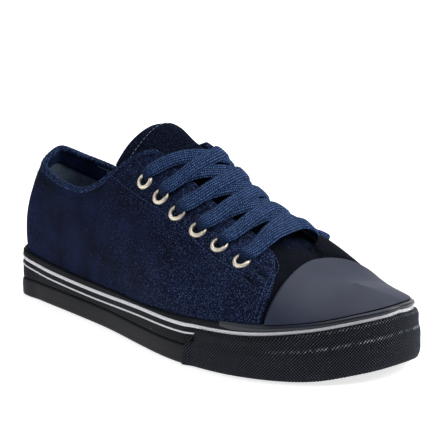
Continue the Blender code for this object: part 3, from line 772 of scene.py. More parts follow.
def makeBumper():
    # Raised pattern: the product of two slanting sine waves of the distance round the toe and the height
    share = np.linspace(-1.0, 1.0, bumperLook["columns"])[None, :]
    height = packed(bumperLook["rows"], 0.4)[:, None]
    start = soleLook["bumperFrom"] + bumperLook["slant"] * height ** bumperLook["slantPower"]
    u = 1.0 - (1.0 - start) * np.abs(share)
    side = sideOf(share) + 0.0 * u
    low = soleLow(u) + bumperLook["aboveGround"]
    z = low + (readKnots(stripeRows, u) - bumperLook["belowStripe"] - low) * height
    behind = np.clip((z - soleTop(u)) / (section("foxingTop", u) - soleTop(u)), 0.0, 1.0)
    foxing = foxingInset(u, behind)
    depth = readKnots(bumperWall, height) + foxing - soleLook["bumperRecess"]
    steps = np.linalg.norm(np.diff(edgePoints(u, side, depth, z)[..., :2], axis=1), axis=-1)
    run = np.pad(np.cumsum(steps, axis=1), ((0, 0), (1, 0)))
    run = run - run[:, run.shape[1] // 2][:, None]
    phase = np.pi / bumperLook["pitchMm"]
    raised = np.abs(np.sin((run + z) * phase) * np.sin((run - z) * phase))
    # Painted highlight on the edges the light catches: the lower bulge's top, and faintly the rim under the
    # stripe
    crestHighlight = bump(height, bumperLook["crestAt"], bumperLook["crestWidth"])
    crestHighlight = crestHighlight * ramp(u, *bumperLook["crestRange"])
    crestHighlight = crestHighlight * (1.0 - bumperLook["crestFade"] * ramp(u, *bumperLook["fadeRange"]))
    rim = bump(height, bumperLook["rimAt"], bumperLook["rimWidth"]) * ramp(u, *bumperLook["rimRange"])
    crestHighlight = crestHighlight + bumperLook["rimShare"] * rim
    fade = ramp(1.0 - np.abs(share), 0.0, 0.004) * (1.0 - ramp(height, 0.99, 1.0))
    outer = edgePoints(u, side, depth - bumperLook["knurlMm"] * (raised - 0.3) * fade, z)
    inner = edgePoints(u, side, foxing - bumperLook["wall"], z)[[-1, len(z) // 2, 0]]
    attributes = {"raised": np.concatenate([raised, 0.0 * inner[..., 0]]),
                  "crestHighlight": np.concatenate([crestHighlight, 0.0 * inner[..., 0]])}
    addGrid("toeBumper", np.concatenate([outer, inner]), False, True, bumperRubber, "bumper_rubber",
            ("toe_bumper",), attributes=attributes, fill=True)


makeBumper()
print("bumper made")


# Quarter: the velvet panel round the heel and both sides, thick at its edges, with soft creases

quarterLook = {"outerLift": 0.8, "innerLift": -1.0, "edgeRadius": 0.9, "tuck": 5.0, "tuckRange": (0.0, 0.012),
               "unevenMm": 0.22, "unevenSize": 26.0, "hollow": 0.35, "hollowU": (0.10, 0.20),
               "hollowV": (0.12, 0.35), "corner": 3.8, "cornerU": (0.42, 0.455, 0.50, 0.54),
               "cornerV": (0.60, 0.69), "innerDip": 0.026, "dipRange": (0.02, 0.30, 0.34, 0.40),
               "creaseEnd": 0.35, "troughShade": 1.1, "columns": 331, "rows": 91}
# Strength of the bright specks, and where each part of it begins and ends
sparkleLook = {"least": 0.12, "heel": 0.30, "heelU": (0.08, 0.25), "front": 0.95, "frontU": (0.30, 0.66),
               "facing": 0.55, "facingU": (0.25, 0.40), "facingV": (0.30, 0.55), "facingFade": 0.6,
               "seamU": (0.035, 0.05), "seamV": (0.2, 0.3)}
# The collar's edge, then a front of its own; power bends the front columns round the corner
quarterNames = edgeNames + ("power",)
quarterRows = tuple((*row, 1.0) for row in edgeRows[:15]) + (
    (0.57, 0.565, 0.715, 1.1), (0.62, 0.613, 0.738, 1.4), (0.66, 0.647, 0.742, 2.2),
    (0.695, 0.672, 0.732, 3.6), (0.731, 0.697, 0.700, 6.0),
)
# Creases: two ends in (u, v), half width and height
creaseRows = (
    (0.668, 0.445, 0.706, 0.40, 0.9, -1.1), (0.680, 0.475, 0.712, 0.45, 0.9, 0.9),
    (0.688, 0.505, 0.714, 0.50, 0.8, -1.1), (0.655, 0.42, 0.690, 0.36, 1.1, 0.9),
    (0.690, 0.535, 0.716, 0.55, 0.8, 0.8), (0.688, 0.565, 0.710, 0.60, 0.8, -0.9),
    (0.640, 0.30, 0.700, 0.20, 4.5, 0.45), (0.420, 0.36, 0.520, 0.25, 6.0, -0.40),
    (0.300, 0.20, 0.420, 0.16, 7.0, 0.35), (0.120, 0.30, 0.220, 0.18, 6.0, -0.35),
    (0.535, 0.40, 0.640, 0.30, 4.0, -0.30),
)


def innerDrop(place, side):
    # The inner collar dips a little lower than the outer one, in v
    return quarterLook["innerDip"] * window(place, *quarterLook["dipRange"]) * (side > 0)


def creaseLift(points, side):
    # Each crease is a bell of the distance from its line, lower towards the line's ends
    total = np.zeros(points.shape[:-1])
    end = quarterLook["creaseEnd"]
    for startU, startV, endU, endV, width, height in creaseRows:
        first = lastPoint(startU, startV, side)
        run = lastPoint(endU, endV, side) - first
        share = np.clip((points - first) @ run / (run @ run), 0.0, 1.0)
        away = np.linalg.norm(points - first - share[..., None] * run, axis=-1)
        total += height * bump(away, 0.0, width) * (end + (1.0 - end) * np.sin(np.pi * share))
    return total


def quarterGrid(rows, columns):
    # u, v and side of a grid from the outer front edge round the heel to the inner front edge
    share = 2.0 * packed(columns, 0.55) - 1.0
    share = share * (1.0 - 0.35 * (1.0 - np.abs(share)))
    place, side = np.abs(share), sideOf(share)
    footU, edgeU, power = (readColumn(quarterNames, quarterRows, name, place)
                           for name in ("footU", "edgeU", "power"))
    edgeV = readColumn(quarterNames, quarterRows, "edgeV", place, levelEnds=True) - innerDrop(place, side)
    height = packed(rows, 0.6)[:, None]
    u = footU + (edgeU - footU) * height ** np.maximum(power, 1.0)
    return u, edgeV * height, side + 0.0 * u


def quarterSparkle(u, v):
    # Stronger specks towards the front and the facing, weaker in the middle and none on the back seam
    front = ramp(u, *sparkleLook["frontU"])
    facing = ramp(v, *sparkleLook["facingV"]) * ramp(u, *sparkleLook["facingU"])
    facing = facing * (1.0 - sparkleLook["facingFade"] * front)
    heel = 1.0 - ramp(u, *sparkleLook["heelU"])
    seam = 1.0 - (1.0 - ramp(u, *sparkleLook["seamU"])) * ramp(v, *sparkleLook["seamV"])
    parts = sparkleLook["heel"] * heel + sparkleLook["front"] * front + sparkleLook["facing"] * facing
    return (sparkleLook["least"] + parts) * seam


def makeQuarter():
    # Relief: creases, a slow unevenness, a hollow above the heel, and a raised inner facing corner
    u, v, side = quarterGrid(quarterLook["rows"], quarterLook["columns"])
    base = lastPoint(u, v, side)
    outerCreases = creaseLift(base, -1.0)
    relief = np.where(side < 0, outerCreases, creaseLift(base, 1.0))
    relief += quarterLook["unevenMm"] * smoothWave(base, 3, quarterLook["unevenSize"])
    hollow = (1.0 - ramp(u, *quarterLook["hollowU"])) * ramp(v, *quarterLook["hollowV"])
    corner = (side > 0) * window(u, *quarterLook["cornerU"]) * ramp(v, *quarterLook["cornerV"])
    relief += quarterLook["corner"] * corner - quarterLook["hollow"] * hollow
    # Painted shade: the crease troughs lose their bright specks
    shade = 1.0 + quarterLook["troughShade"] * np.minimum(outerCreases, 0.0)
    sparkle = quarterSparkle(u, v) * np.clip(shade, 0.1, 1.0)

    def surface(lift):
        points = lastPoint(u, v, side, lift)
        points[..., 2] -= quarterLook["tuck"] * (1.0 - ramp(v, *quarterLook["tuckRange"]))
        return points

    half = (quarterLook["outerLift"] - quarterLook["innerLift"]) / 2
    middle = (quarterLook["outerLift"] + quarterLook["innerLift"]) / 2
    roundedSheet("velvetQuarter", surface, middle, half, quarterLook["edgeRadius"],
                 ("end", "left", "right"), velvet, "velvet", ("upper",), relief, {"sparkle": sparkle})


makeQuarter()
print("quarter made")


# Vamp: the velvet under the cap and round the throat's front, darkened as painted shade, then the lining

vampLook = {"from": 0.655, "half": 0.5, "edgeRadius": 0.6, "proud": 1.5, "proudFrom": 0.668,
            "proudSlant": 0.125, "proudC": (0.05, 0.09), "proudU": (0.0, 0.01), "proudEnd": (0.744, 0.752),
            "sunk": 2.4, "sunkU": (0.757, 0.775), "sunkV": (0.4, 0.8), "sparkle": 0.35}
liningLook = {"outer": -1.1, "inner": -2.0, "top": 0.985, "unevenMm": 0.12, "unevenSize": 18.0}


def readEdge(place):
    # Foot u, edge u and edge v by place; in front of the throat the edge is the ridge
    footU, edgeU = (readColumn(edgeNames, edgeRows, name, place) for name in ("footU", "edgeU"))
    edgeV = readColumn(edgeNames, edgeRows, "edgeV", place, levelEnds=True)
    return footU, np.minimum(edgeU, 1.0), np.where(place > throatPlace, 1.0, np.minimum(edgeV, 1.0))


def makeVamp():
    share = 2.0 * packed(281, 0.5) - 1.0
    footU, edgeU, edgeV = readEdge(1.0 - (1.0 - vampLook["from"]) * np.abs(share))
    height = packed(61, 0.5)[:, None]
    u, v = footU + (edgeU - footU) * height, edgeV * height
    side = sideOf(share) + 0.0 * u
    # The inner panel's edge stands proud beside the ridge, up to the cap; the panel sinks under it
    c = 1.0 - v
    front = u - vampLook["proudFrom"] - vampLook["proudSlant"] * np.clip(c - 0.2, 0.0, 1.0)
    proud = (side > 0) * ramp(c, *vampLook["proudC"]) * ramp(front, *vampLook["proudU"])
    proud = vampLook["proud"] * proud * (1.0 - ramp(u, *vampLook["proudEnd"]))
    sunk = vampLook["sunk"] * ramp(u, *vampLook["sunkU"]) * ramp(v, *vampLook["sunkV"])
    middle = -vampLook["half"]
    base = lastPoint(u, v, side)
    rim = np.where(v[-1] < 0.999, edgeDistance(base, ("end", "left", "right")),
                   edgeDistance(base, ("left", "right")))
    t = vampLook["half"] * quarterRound(rim, vampLook["edgeRadius"])
    grid = np.stack([lastPoint(u, v, side, middle + t + proud - sunk),
                     lastPoint(u, v, side, middle - t - sunk)])
    quads = gridQuads(*u.shape)
    faces = np.concatenate([quads, quads[:, ::-1] + u.size])
    addMesh("vamp", grid, faces, shadedVampVelvet, "velvet",
            attributes={"sparkle": np.full(grid.shape[:3], vampLook["sparkle"])})


def makeLining():
    # Two faces from the sole up to just below the edge
    share = np.linspace(-1.0, 1.0, 281)
    place = 1.0 - np.abs(share)
    footU, edgeU, edgeV = readEdge(place)
    edgeV = edgeV - innerDrop(place, share)
    height = np.linspace(0.0, liningLook["top"], 31)[:, None]
    u = footU + (edgeU - footU) * height
    v = edgeV * height / np.where(place > throatPlace, liningLook["top"], 1.0)
    side = sideOf(share) + 0.0 * u
    wave = liningLook["unevenMm"] * smoothWave(lastPoint(u, v, side), 8, liningLook["unevenSize"])

    def face(lift, relief):
        skirt = lastPoint(u[:1], v[:1], side[:1], lift)
        skirt[..., 2] = foxingFoot(u[:1])
        return np.concatenate([skirt, lastPoint(u, v, side, lift + relief)])

    grid = np.concatenate([face(liningLook["outer"], 0.0), face(liningLook["inner"], wave)[::-1]])
    addGrid("lining", grid, False, True, liningCloth, "velvet")


makeVamp()
makeLining()
print("vamp and lining made")


# Collar binding: a soft velvet roll along the top edge from facing to facing, round the heel

bindingLook = {"tall": 3.6, "out": 1.5, "in": -2.5, "up": 0.7, "endPlace": 0.452, "innerEnd": 0.527,
               "endTaper": 0.012, "cornerOut": 4.2, "cornerUp": 2.52, "cornerRange": (0.462, 0.49),
               "backIn": 0.7, "backRange": (0.05, 0.20), "pucker": 0.12, "puckers": 95.0}
bandLook = {"from": 0.02, "tall": 0.085, "lift": -2.35, "half": 0.35, "edgeRadius": 0.6, "sparkle": 0.25}


def collarPlace(count):
    # Share, place, u, v and side along the collar from the outer facing round the heel to the inner one
    share = np.linspace(-1.0, 1.0, count)
    side = sideOf(share)
    place = np.abs(share) * np.where(side < 0, bindingLook["endPlace"], bindingLook["innerEnd"])
    _, u, v = readEdge(place)
    return share, place, u, v - innerDrop(place, side), side


def makeBinding():
    share, place, u, v, side = collarPlace(461)
    edge = lastPoint(u, v, side)
    run = unit(np.gradient(edge, axis=0))
    normal = acrossNormal(u, side * (1.0 - v))
    normal[np.abs(share) < 0.02] = np.array([-1.0, 0.0, 0.0])
    upward = unit(np.cross(run, normal))
    upward *= np.sign(upward[:, 2:3])
    # The back sits in a little, and the inner facing's corner is lifted by the lace
    corner = (side > 0) * ramp(place, *bindingLook["cornerRange"])
    back = bindingLook["backIn"] * (1.0 - ramp(u, *bindingLook["backRange"]))
    edge = edge + normal * (bindingLook["cornerOut"] * corner - back)[:, None]
    edge = edge + upward * (bindingLook["cornerUp"] * corner)[:, None]
    middle = (bindingLook["out"] + bindingLook["in"]) / 2
    halfOut = (bindingLook["out"] - bindingLook["in"]) / 2
    halfTall = bindingLook["tall"] / 2
    taper = quarterRound(1.0 - np.abs(share), bindingLook["endTaper"])
    turns = np.linspace(0.0, 2 * np.pi * bindingLook["puckers"], len(share))
    pucker = bindingLook["pucker"] * np.sin(turns)
    grid = []
    for outward, rise in roundSection(28, 0.55, 0.75):
        outSize = middle + (halfOut + pucker * (outward > 0.5)) * outward * taper
        riseSize = bindingLook["up"] - halfTall + halfTall * rise * taper
        grid.append(edge + normal * outSize[:, None] + upward * riseSize[:, None])
    grid = np.stack(grid)
    addGrid("collarBinding", grid, False, True, bindingVelvet, "velvet",
            attributes={"sparkle": np.ones(grid.shape[:2])})


def makeCollarBand():
    # The velvet band inside the collar, under the binding
    *_, u, v, side = collarPlace(201)
    drop = (bandLook["from"] + bandLook["tall"] * np.linspace(0.0, 1.0, 9))[:, None]
    u, v, side = np.broadcast_arrays(u, v - drop, side)

    def surface(lift):
        return lastPoint(u, v, side, lift)

    roundedSheet("collarBand", surface, bandLook["lift"], bandLook["half"], bandLook["edgeRadius"],
                 ("end", "left", "right"), bindingVelvet, "velvet",
                 attributes={"sparkle": np.full(u.shape, bandLook["sparkle"])})


makeBinding()
makeCollarBand()
print("binding made")


# Toe cap: smooth rubber from the lip to the ridge, its rear edge slanting forward

capLook = {"from": 0.734, "slant": 0.026, "innerFrom": 0.750, "lift": 1.1, "wall": 1.4, "foot": 0.3,
           "edgeRadius": 1.2, "softenRounds": 320, "softenReach": 0.98}


def softenRidge(points, rounds, reach):
    # Averages a cap's grid across the ridge, where its last row meets the mirrored last row
    weight = ramp(np.linspace(0.0, 1.0, len(points)), 1.0 - reach, 1.0 - reach / 3)[:, None, None]
    fixed = np.ones(points.shape[1])
    fixed[:2] = fixed[-2:] = 0.0
    weight = weight * fixed[None, :, None]
    for _ in range(rounds):
        beyond = np.concatenate([points, points[-2:-3:-1, ::-1]])
        left = np.concatenate([beyond[:, :1], beyond[:, :-1]], axis=1)
        right = np.concatenate([beyond[:, 1:], beyond[:, -1:]], axis=1)
        mean = (left[1:-1] + right[1:-1] + beyond[2:] + beyond[:-2]) / 4
        points = points.copy()
        points[1:] += 0.5 * weight[1:] * (mean - points[1:])
        points[-1] = (points[-1] + points[-1, ::-1]) / 2
    return points


def makeCap():
    # The rear edge runs forward with the square of height; the foot starts a set rise above the lip
    share = np.linspace(-1.0, 1.0, 221)
    height = np.linspace(0.0, 1.0, 71)[:, None]
    foot = np.where(share < 0, capLook["from"], capLook["innerFrom"])
    start = foot + (capLook["from"] + capLook["slant"] - foot) * height**2
    u = 1.0 - (1.0 - start) * np.abs(share)
    rise = capLook["foot"] / (section("ridgeZ", u) - section("foxingTop", u))
    footV = 2.0 / np.pi * np.arcsin(rise ** (section("fullness", u) / 2.0))
    v = footV + (1.0 - footV) * height
    middle = lastPoint(u, v, sideOf(share), capLook["lift"] + capLook["wall"] / 2)
    middle = softenRidge(middle, capLook["softenRounds"], capLook["softenReach"])
    alongColumns, alongRows = np.gradient(middle, axis=0), np.gradient(middle, axis=1)
    alongColumns[-1] = (alongColumns[-1] - alongColumns[-1, ::-1]) / 2
    normal = unit(np.cross(alongRows, alongColumns))

    def surface(lift):
        return middle + normal * np.asarray(lift)[..., None]

    roundedSheet("toeCap", surface, 0.0, capLook["wall"] / 2, capLook["edgeRadius"], ("left", "right"),
                 capRubber, "cap_rubber", ("toe_cap",))


makeCap()
print("cap made")


# Tongue: a padded velvet sheet, crowned between the facings and upright at its end

tongueNames = ("u", "slant", "half", "outer", "middle", "inner", "shift", "crown")
tongueRows = (
    (0.745, 0.0, 0.24, -3.3, -3.3, -3.3, 0.0, 0.30), (0.715, 0.0, 0.32, -3.5, -3.2, -3.5, 0.0, 0.30),
    (0.69, 0.0, 0.38, -4.4, -2.8, -4.4, 0.0, 0.28), (0.65, 0.0, 0.42, -5.1, -2.2, -5.1, 0.0, 0.26),
    (0.60, 0.0, 0.44, -5.3, -2.0, -5.3, 0.0, 0.24), (0.55, 0.0, 0.45, -5.5, -1.8, -5.5, 0.0, 0.25),
    (0.50, 0.0, 0.455, -5.8, -1.8, -5.8, 0.02, 0.27), (0.455, 0.0, 0.46, -6.1, -0.9, -6.1, 0.06, 0.29),
    (0.42, 0.0, 0.46, -5.2, 2.4, -5.4, 0.10, 0.36), (0.395, 0.004, 0.46, -3.6, 2.5, -4.6, 0.09, 0.40),
    (0.380, 0.008, 0.46, -0.6, 0.8, -4.0, 0.08, 0.42), (0.370, 0.010, 0.47, 0.7, -0.5, -3.6, 0.08, 0.42),
)
tongueLook = {"wall": 2.6, "top": 0.1, "edgeRadius": 1.3, "fill": 0.5, "hemMm": 5.0, "hemWidth": 0.7,
              "hemDepth": 0.35, "unevenMm": 0.18, "unevenSize": 16.0, "sparkle": 0.7}


def tonguePlace(place, share):
    # u, c and lift: between the outer and inner edge's lifts, raised to the middle's by a squared
    # cosine about the shifted crown
    size = {name: readColumn(tongueNames, tongueRows, name, place) for name in tongueNames}
    c = share * size["half"]
    rise = np.cos(np.pi / 2 * np.minimum(np.abs(c - size["shift"]) / size["crown"], 1.0)) ** 2
    low = size["outer"] + (size["inner"] - size["outer"]) * (share + 1.0) / 2
    return size["u"] + size["slant"] * ramp(share, -0.2, 0.5), c, low + (size["middle"] - low) * rise


def makeTongue():
    place, share = np.meshgrid(packed(121, 0.5), 2.0 * packed(81, 0.5) - 1.0, indexing="ij")
    u, c, lift = tonguePlace(place, share)

    def surface(extra):
        return acrossPoint(u, c, lift + extra)

    base = surface(0.0)
    distance = edgeDistance(base, ("end", "left", "right"))
    relief = tongueLook["unevenMm"] * smoothWave(base, 5, tongueLook["unevenSize"])
    relief -= tongueLook["hemDepth"] * bump(distance, tongueLook["hemMm"], tongueLook["hemWidth"])
    half = tongueLook["wall"] / 2
    tongue = roundedSheet("tongue", surface, tongueLook["top"] - half, half, tongueLook["edgeRadius"],
                          ("start", "end", "left", "right"), tongueVelvet, "tongue_velvet", ("tongue",),
                          relief, {"sparkle": np.full(u.shape, tongueLook["sparkle"])})


makeTongue()
print("tongue made")


# Eyelets: rolled rings set in the facings

# Profile of (radius, height): the rolled ring, then the barrel through the facing
eyeletProfile = ((2.8, 0.5), (2.9, 1.8), (3.4, 2.25), (4.4, 1.85), (5.0, 0.8), (4.4, 0.2), (2.9, -2.2),
                 (2.6, -2.2))
eyeletSteps = 20


def eyeletSpots(side):
    if side < 0:
        return list(outerEyelets)
    places = [(u + innerEyeletShift, v) for u, v in outerEyelets]
    places[-1] = (outerEyelets[-1][0] + lastInnerShift, outerEyelets[-1][1])
    return places


def makeEyelets():
    profile = np.array(eyeletProfile)
    turns = np.linspace(0.0, 2 * np.pi, eyeletSteps, endpoint=False)
    for side, word in ((-1.0, "outer"), (1.0, "inner")):
        for number, (u, v) in enumerate(eyeletSpots(side), start=1):
            c = side * (1.0 - v)
            centre = acrossPoint(u, c)
            normal = acrossNormal(u, c)
            along = acrossPoint(u + 0.01, c) - centre
            along = unit(along - normal * (along @ normal))
            across = np.cross(normal, along)
            ring = np.cos(turns)[:, None] * along + np.sin(turns)[:, None] * across
            grid = centre + profile[None, :, :1] * ring[:, None, :] + profile[None, :, 1:] * normal
            addGrid(f"{word}Eyelet{number}", grid, True, True, eyeletMetal, "eyelet_metal",
                    (f"eyelet_{word}_{number}",))


makeEyelets()
print("eyelets made")


# Lace: one flat ribbed ribbon threaded through every eyelet

laceLook = {"width": 9.4, "neck": 4.2, "thickness": 1.6, "neckThickness": 2.2, "ribs": 6, "ribMm": 0.32,
            "cupMm": 0.35, "stepMm": 1.15, "uvHalf": 4.65, "wander": 0.03, "wanderMm": 17.0,
            "planLift": 2.0}
# Where a strand changes: by distance from the nearer eyelet, and for the inner sinking by c
laceRanges = {"added": (0.5, 4.0), "high": (9.0, 27.0), "sink": (4.0, 12.0), "sinkAcross": (0.10, 0.34),
              "neck": (-2.0, 7.0)}
# Strands in the order of the lace, N for the outer and F for the inner eyelets: first and last
# eyelet, lift over the ridge, lift added beside the eyelets, bow towards the toe, how late the bow
# begins, and how far the inner end sinks
strandRows = (
    ("F1", "N2", 4.6, 1.5, 0.040, 0.8, 0.0), ("N2", "F3", 2.7, 0.0, 0.036, 2.0, 0.0),
    ("F3", "N4", 4.6, 1.5, 0.039, 0.8, 0.0), ("N4", "F5", 2.7, 0.0, 0.017, 1.5, 0.0),
    ("F5", "N6", 4.4, 0.0, 0.030, 0.8, 0.0), ("N6", "F6", 6.6, 1.2, 0.039, 1.2, 5.2),
    ("F6", "N5", 2.7, 0.0, 0.012, 1.2, 0.0), ("N5", "F4", 4.6, 1.5, 0.037, 0.8, 0.0),
    ("F4", "N3", 2.7, 0.0, 0.022, 1.5, 0.0), ("N3", "F2", 4.6, 1.5, 0.044, 0.8, 0.0),
    ("F2", "N1", 2.9, 0.3, 0.045, 2.0, 0.0),
)
# Lift by distance from the eyelet's middle
liftRows = ((0.0, -1.0), (0.8, 0.7), (1.8, 2.2), (3.2, 2.85), (5.0, 2.75), (8.0, 2.35), (12.0, 2.05),
            (16.0, 2.05))


def eyeletPlan(name):
    side = -1.0 if name[0] == "N" else 1.0
    u, v = eyeletSpots(side)[int(name[1]) - 1]
    return u, side * (1.0 - v)


def strandPath(first, last, high, added, bow, late, sink):
    # Points, width direction and width share of one strand from hole to hole: u is bowed by a power
    # of a sine, and the lift rises from the eyelets' to the ridge's
    (u0, c0), (u1, c1) = eyeletPlan(first), eyeletPlan(last)
    t = np.linspace(0.0, 1.0, 121)
    u = u0 + (u1 - u0) * t + bow * np.sin(np.pi * t) ** late
    c = c0 + (c1 - c0) * t
    plan = acrossPoint(u, c, laceLook["planLift"])
    run = pathRun(plan)
    away = np.minimum(run, run[-1] - run)
    near = readKnots(liftRows, away) + added * ramp(away, *laceRanges["added"])
    sunk = sink * ramp(c, *laceRanges["sinkAcross"]) * ramp(away, *laceRanges["sink"])
    points = acrossPoint(u, c, near + (high - near) * ramp(away, *laceRanges["high"]) - sunk)
    wide = unit(np.cross(unit(np.gradient(plan, axis=0)), acrossNormal(u, c)))
    return points, wide, ramp(away, *laceRanges["neck"])


def smoothRows(values, width):
    kernel = np.hanning(width + 2)[1:-1]
    kernel /= kernel.sum()
    wide = np.pad(values, ((width // 2, width // 2), (0, 0)), mode="edge")
    return np.stack([np.convolve(column, kernel, mode="valid") for column in wide.T], axis=1)


def lacePath():
    # Even samples of point, width direction, width share and upper side along the whole lace
    rows = []
    for index, strand in enumerate(strandRows):
        points, wide, share = strandPath(*strand)
        sign = 1.0 if index % 2 == 0 else -1.0
        row = np.column_stack([points, sign * wide, share, np.full(len(share), sign)])
        rows.append(row if index == 0 else row[1:])
    table = np.concatenate(rows)
    table[:, :3] = smoothRows(table[:, :3], 5)
    run = pathRun(table[:, :3])
    even = np.linspace(0.0, run[-1], int(run[-1] / laceLook["stepMm"]))
    table = sampleRows(even, run, table)
    table[:, :3] = smoothRows(table[:, :3], 3)
    table[:, 3:] = smoothRows(table[:, 3:], 7)
    return even, table[:, :3], table[:, 3:6], table[:, 6], table[:, 7]


def makeLace():
    # Section: a flattened oval with ribs by a folded cosine, cupped by the square of its width
    even, points, wide, share, sign = lacePath()
    along = unit(np.gradient(points, axis=0))
    wide = unit(wide - along * np.sum(wide * along, axis=1)[:, None])
    above = np.cross(wide, along)
    halfWidth = (laceLook["neck"] + (laceLook["width"] - laceLook["neck"]) * share) / 2
    halfWidth = halfWidth * (1.0 + laceLook["wander"] * np.sin(even / laceLook["wanderMm"]))
    neckThick = laceLook["neckThickness"]
    halfThick = (neckThick + (laceLook["thickness"] - neckThick) * share) / 2
    x = np.linspace(-1.0, 1.0, 33)
    x = np.sign(x) * (1.0 - (1.0 - np.abs(x)) ** 1.25)
    body = (1.0 - np.abs(x) ** 5) ** 0.5
    ribs = np.abs(np.cos(x * np.pi / 2 * laceLook["ribs"])) - 0.5
    ribs = laceLook["ribMm"] * ribs * (1.0 - np.abs(x) ** 8)
    flip = np.concatenate([np.ones(len(x)), -np.ones(len(x) - 2)])
    acrossX = thereAndBack(x)
    height = (thereAndBack(body) * flip) * halfThick[:, None] + thereAndBack(ribs) * flip
    height = height - laceLook["cupMm"] * acrossX**2 * (sign * share)[:, None]
    grid = (points[:, None, :] + wide[:, None, :] * (acrossX * halfWidth[:, None])[..., None]
            + above[:, None, :] * height[..., None])
    # Lids across both ends
    size, top = len(acrossX), np.arange(len(x) - 1)
    lid = np.stack([top, top + 1, (size - top - 1) % size, (size - top) % size], axis=-1)
    lid = lid[[len(set(face)) == 4 for face in lid.tolist()]]
    quads = gridQuads(*grid.shape[:2], closeColumns=True)
    faces = np.concatenate([quads, lid, lid[:, ::-1] + (len(even) - 1) * size])
    uv = np.stack(np.broadcast_arrays(acrossX * laceLook["uvHalf"], even[:, None]), axis=-1)
    # The width share, low inside the eyelets, also sets the lace's painted eyelet shade
    addMesh("laceRibbon", grid, faces, laceCloth, "lace_cloth", ("laces",), uv,
            {"eyeletShade": np.broadcast_to(share[:, None], grid.shape[:2])})


makeLace()
print("lace made")


# Insole: the foot bed inside the upper

# Rounded section of (inset from the last's foot, height above the sole's top)
insoleRows = ((2.5, 0.4), (2.5, 3.4), (2.9, 4.1), (3.9, 4.4))


def makeInsole():
    u = np.linspace(0.0, 1.0, 121)
    loops = [loopPoints(u, footInset(u) + inset, soleTop(u) + up) for inset, up in insoleRows]
    grid = np.stack(lidLoops(loops[0], u, (0.0, 0.5)) + loops + lidLoops(loops[-1], u, (0.7, 0.35, 0.0)))
    addGrid("insole", grid, True, False, insoleCloth, "insole_cloth", ("insole",))


makeInsole()


# Stitching: short rounded threads laid along lines of (u, c), each line evenly spaced

stitchLook = {"length": 1.7, "spacing": 2.5, "thick": 0.42, "flat": 0.8, "sides": 6, "seamLift": 0.92,
              "collarLift": 0.95, "collarDrop": 0.058, "hemPlace": 0.87, "hemLift": 0.35}
# Rings of one stitch: place along it and size
stitchRings = ((-0.5, 0.45), (-0.28, 1.0), (0.28, 1.0), (0.5, 0.45))


def stitchFaces():
    # The tube's quads and two more across each end ring
    sides = stitchLook["sides"]
    last = (len(stitchRings) - 1) * sides
    lids = [[0, 1, 2, 3], [0, 3, 4, 5], [last + 3, last + 2, last + 1, last],
            [last + 5, last + 4, last + 3, last]]
    return np.concatenate([gridQuads(len(stitchRings), sides, closeColumns=True), lids])


def makeStitches(name, lines, material, slotName="velvet"):
    turns = np.linspace(0.0, 2 * np.pi, stitchLook["sides"], endpoint=False)[None, :, None]
    stitches = []
    for u, c, lift in lines:
        points = acrossPoint(u, c, lift)
        run = pathRun(points)
        count = max(int(run[-1] / stitchLook["spacing"]), 2)
        spots = (np.arange(count) + 0.5) * run[-1] / count
        centre = sampleRows(spots, run, points)
        along = unit(sampleRows(spots + 0.6, run, points) - sampleRows(spots - 0.6, run, points))
        normal = acrossNormal(np.interp(spots, run, u), np.interp(spots, run, c))
        normal = unit(normal - along * np.sum(normal * along, axis=1)[:, None])
        across = np.cross(normal, along)
        ring = np.cos(turns) * normal[:, None] * stitchLook["flat"] + np.sin(turns) * across[:, None]
        ring = ring * stitchLook["thick"] / 2
        rings = [(centre + along * place * stitchLook["length"])[:, None] + ring * size
                 for place, size in stitchRings]
        stitches.append(np.stack(rings, axis=1).reshape(count, -1, 3))
    grid = np.concatenate(stitches)
    count, size = grid.shape[:2]
    faces = (stitchFaces()[None] + (np.arange(count) * size)[:, None, None]).reshape(-1, 4)
    addMesh(name, grid, faces, material, slotName, attributes={"sparkle": np.zeros(count * size)}, weld=0.001)


def bothSides(rows):
    # A line through rows of (u, v), laid on each side
    u, v = (readColumn(("u", "v"), rows, name, np.linspace(0.0, 1.0, 160)) for name in "uv")
    return [(u, v - 1.0, stitchLook["seamLift"]), (u, 1.0 - v, stitchLook["seamLift"])]


def collarLines():
    *_, u, v, side = collarPlace(400)
    c = side * (1.0 - v + stitchLook["collarDrop"])
    return [(u[half], c[half], stitchLook["collarLift"]) for half in (side < 0, side > 0)]


def hemLine():
    share = np.linspace(-0.86, 0.86, 160)
    u, c, lift = tonguePlace(np.full(len(share), stitchLook["hemPlace"]), share)
    return [(u, c, lift + stitchLook["hemLift"])]


# Seams in (u, v): under the eyelets, two down the quarter's front, and along the facing
stayRows = ((0.360, 0.478), (0.410, 0.455), (0.458, 0.442), (0.496, 0.446), (0.534, 0.458),
            (0.578, 0.470), (0.628, 0.460), (0.676, 0.448))
frontRows = ((0.700, 0.685), (0.716, 0.650), (0.7225, 0.600), (0.7235, 0.500), (0.7245, 0.380),
             (0.7245, 0.250), (0.724, 0.120), (0.7235, 0.02))
secondRows = tuple((u - 0.0075, v - 0.012) for u, v in frontRows)
facingRows = ((0.448, 0.690), (0.475, 0.672), (0.520, 0.660), (0.570, 0.680), (0.620, 0.700),
              (0.655, 0.700), (0.688, 0.680))

seams = [line for rows in (stayRows, frontRows, secondRows, facingRows) for line in bothSides(rows)]
makeStitches("seamStitches", seams, threadCloth)
makeStitches("collarStitches", collarLines(), darkThread)
makeStitches("tongueStitches", hemLine(), paleThread, "tongue_velvet")
print("stitches made")


# Floor, light and camera

cameraLook = {"azimuth": 45.42, "elevation": 13.21, "distance": 0.9995, "lens": 146.5, "sensor": 36.0,
              "target": (0.00352, 0.01317, 0.05972)}
floorLook = {"color": "#dcdcdc", "glow": 0.74, "front": 0.27, "back": 5.0, "side": 3.5}
worldLook = {"color": "#eef1f6", "strength": 0.16}
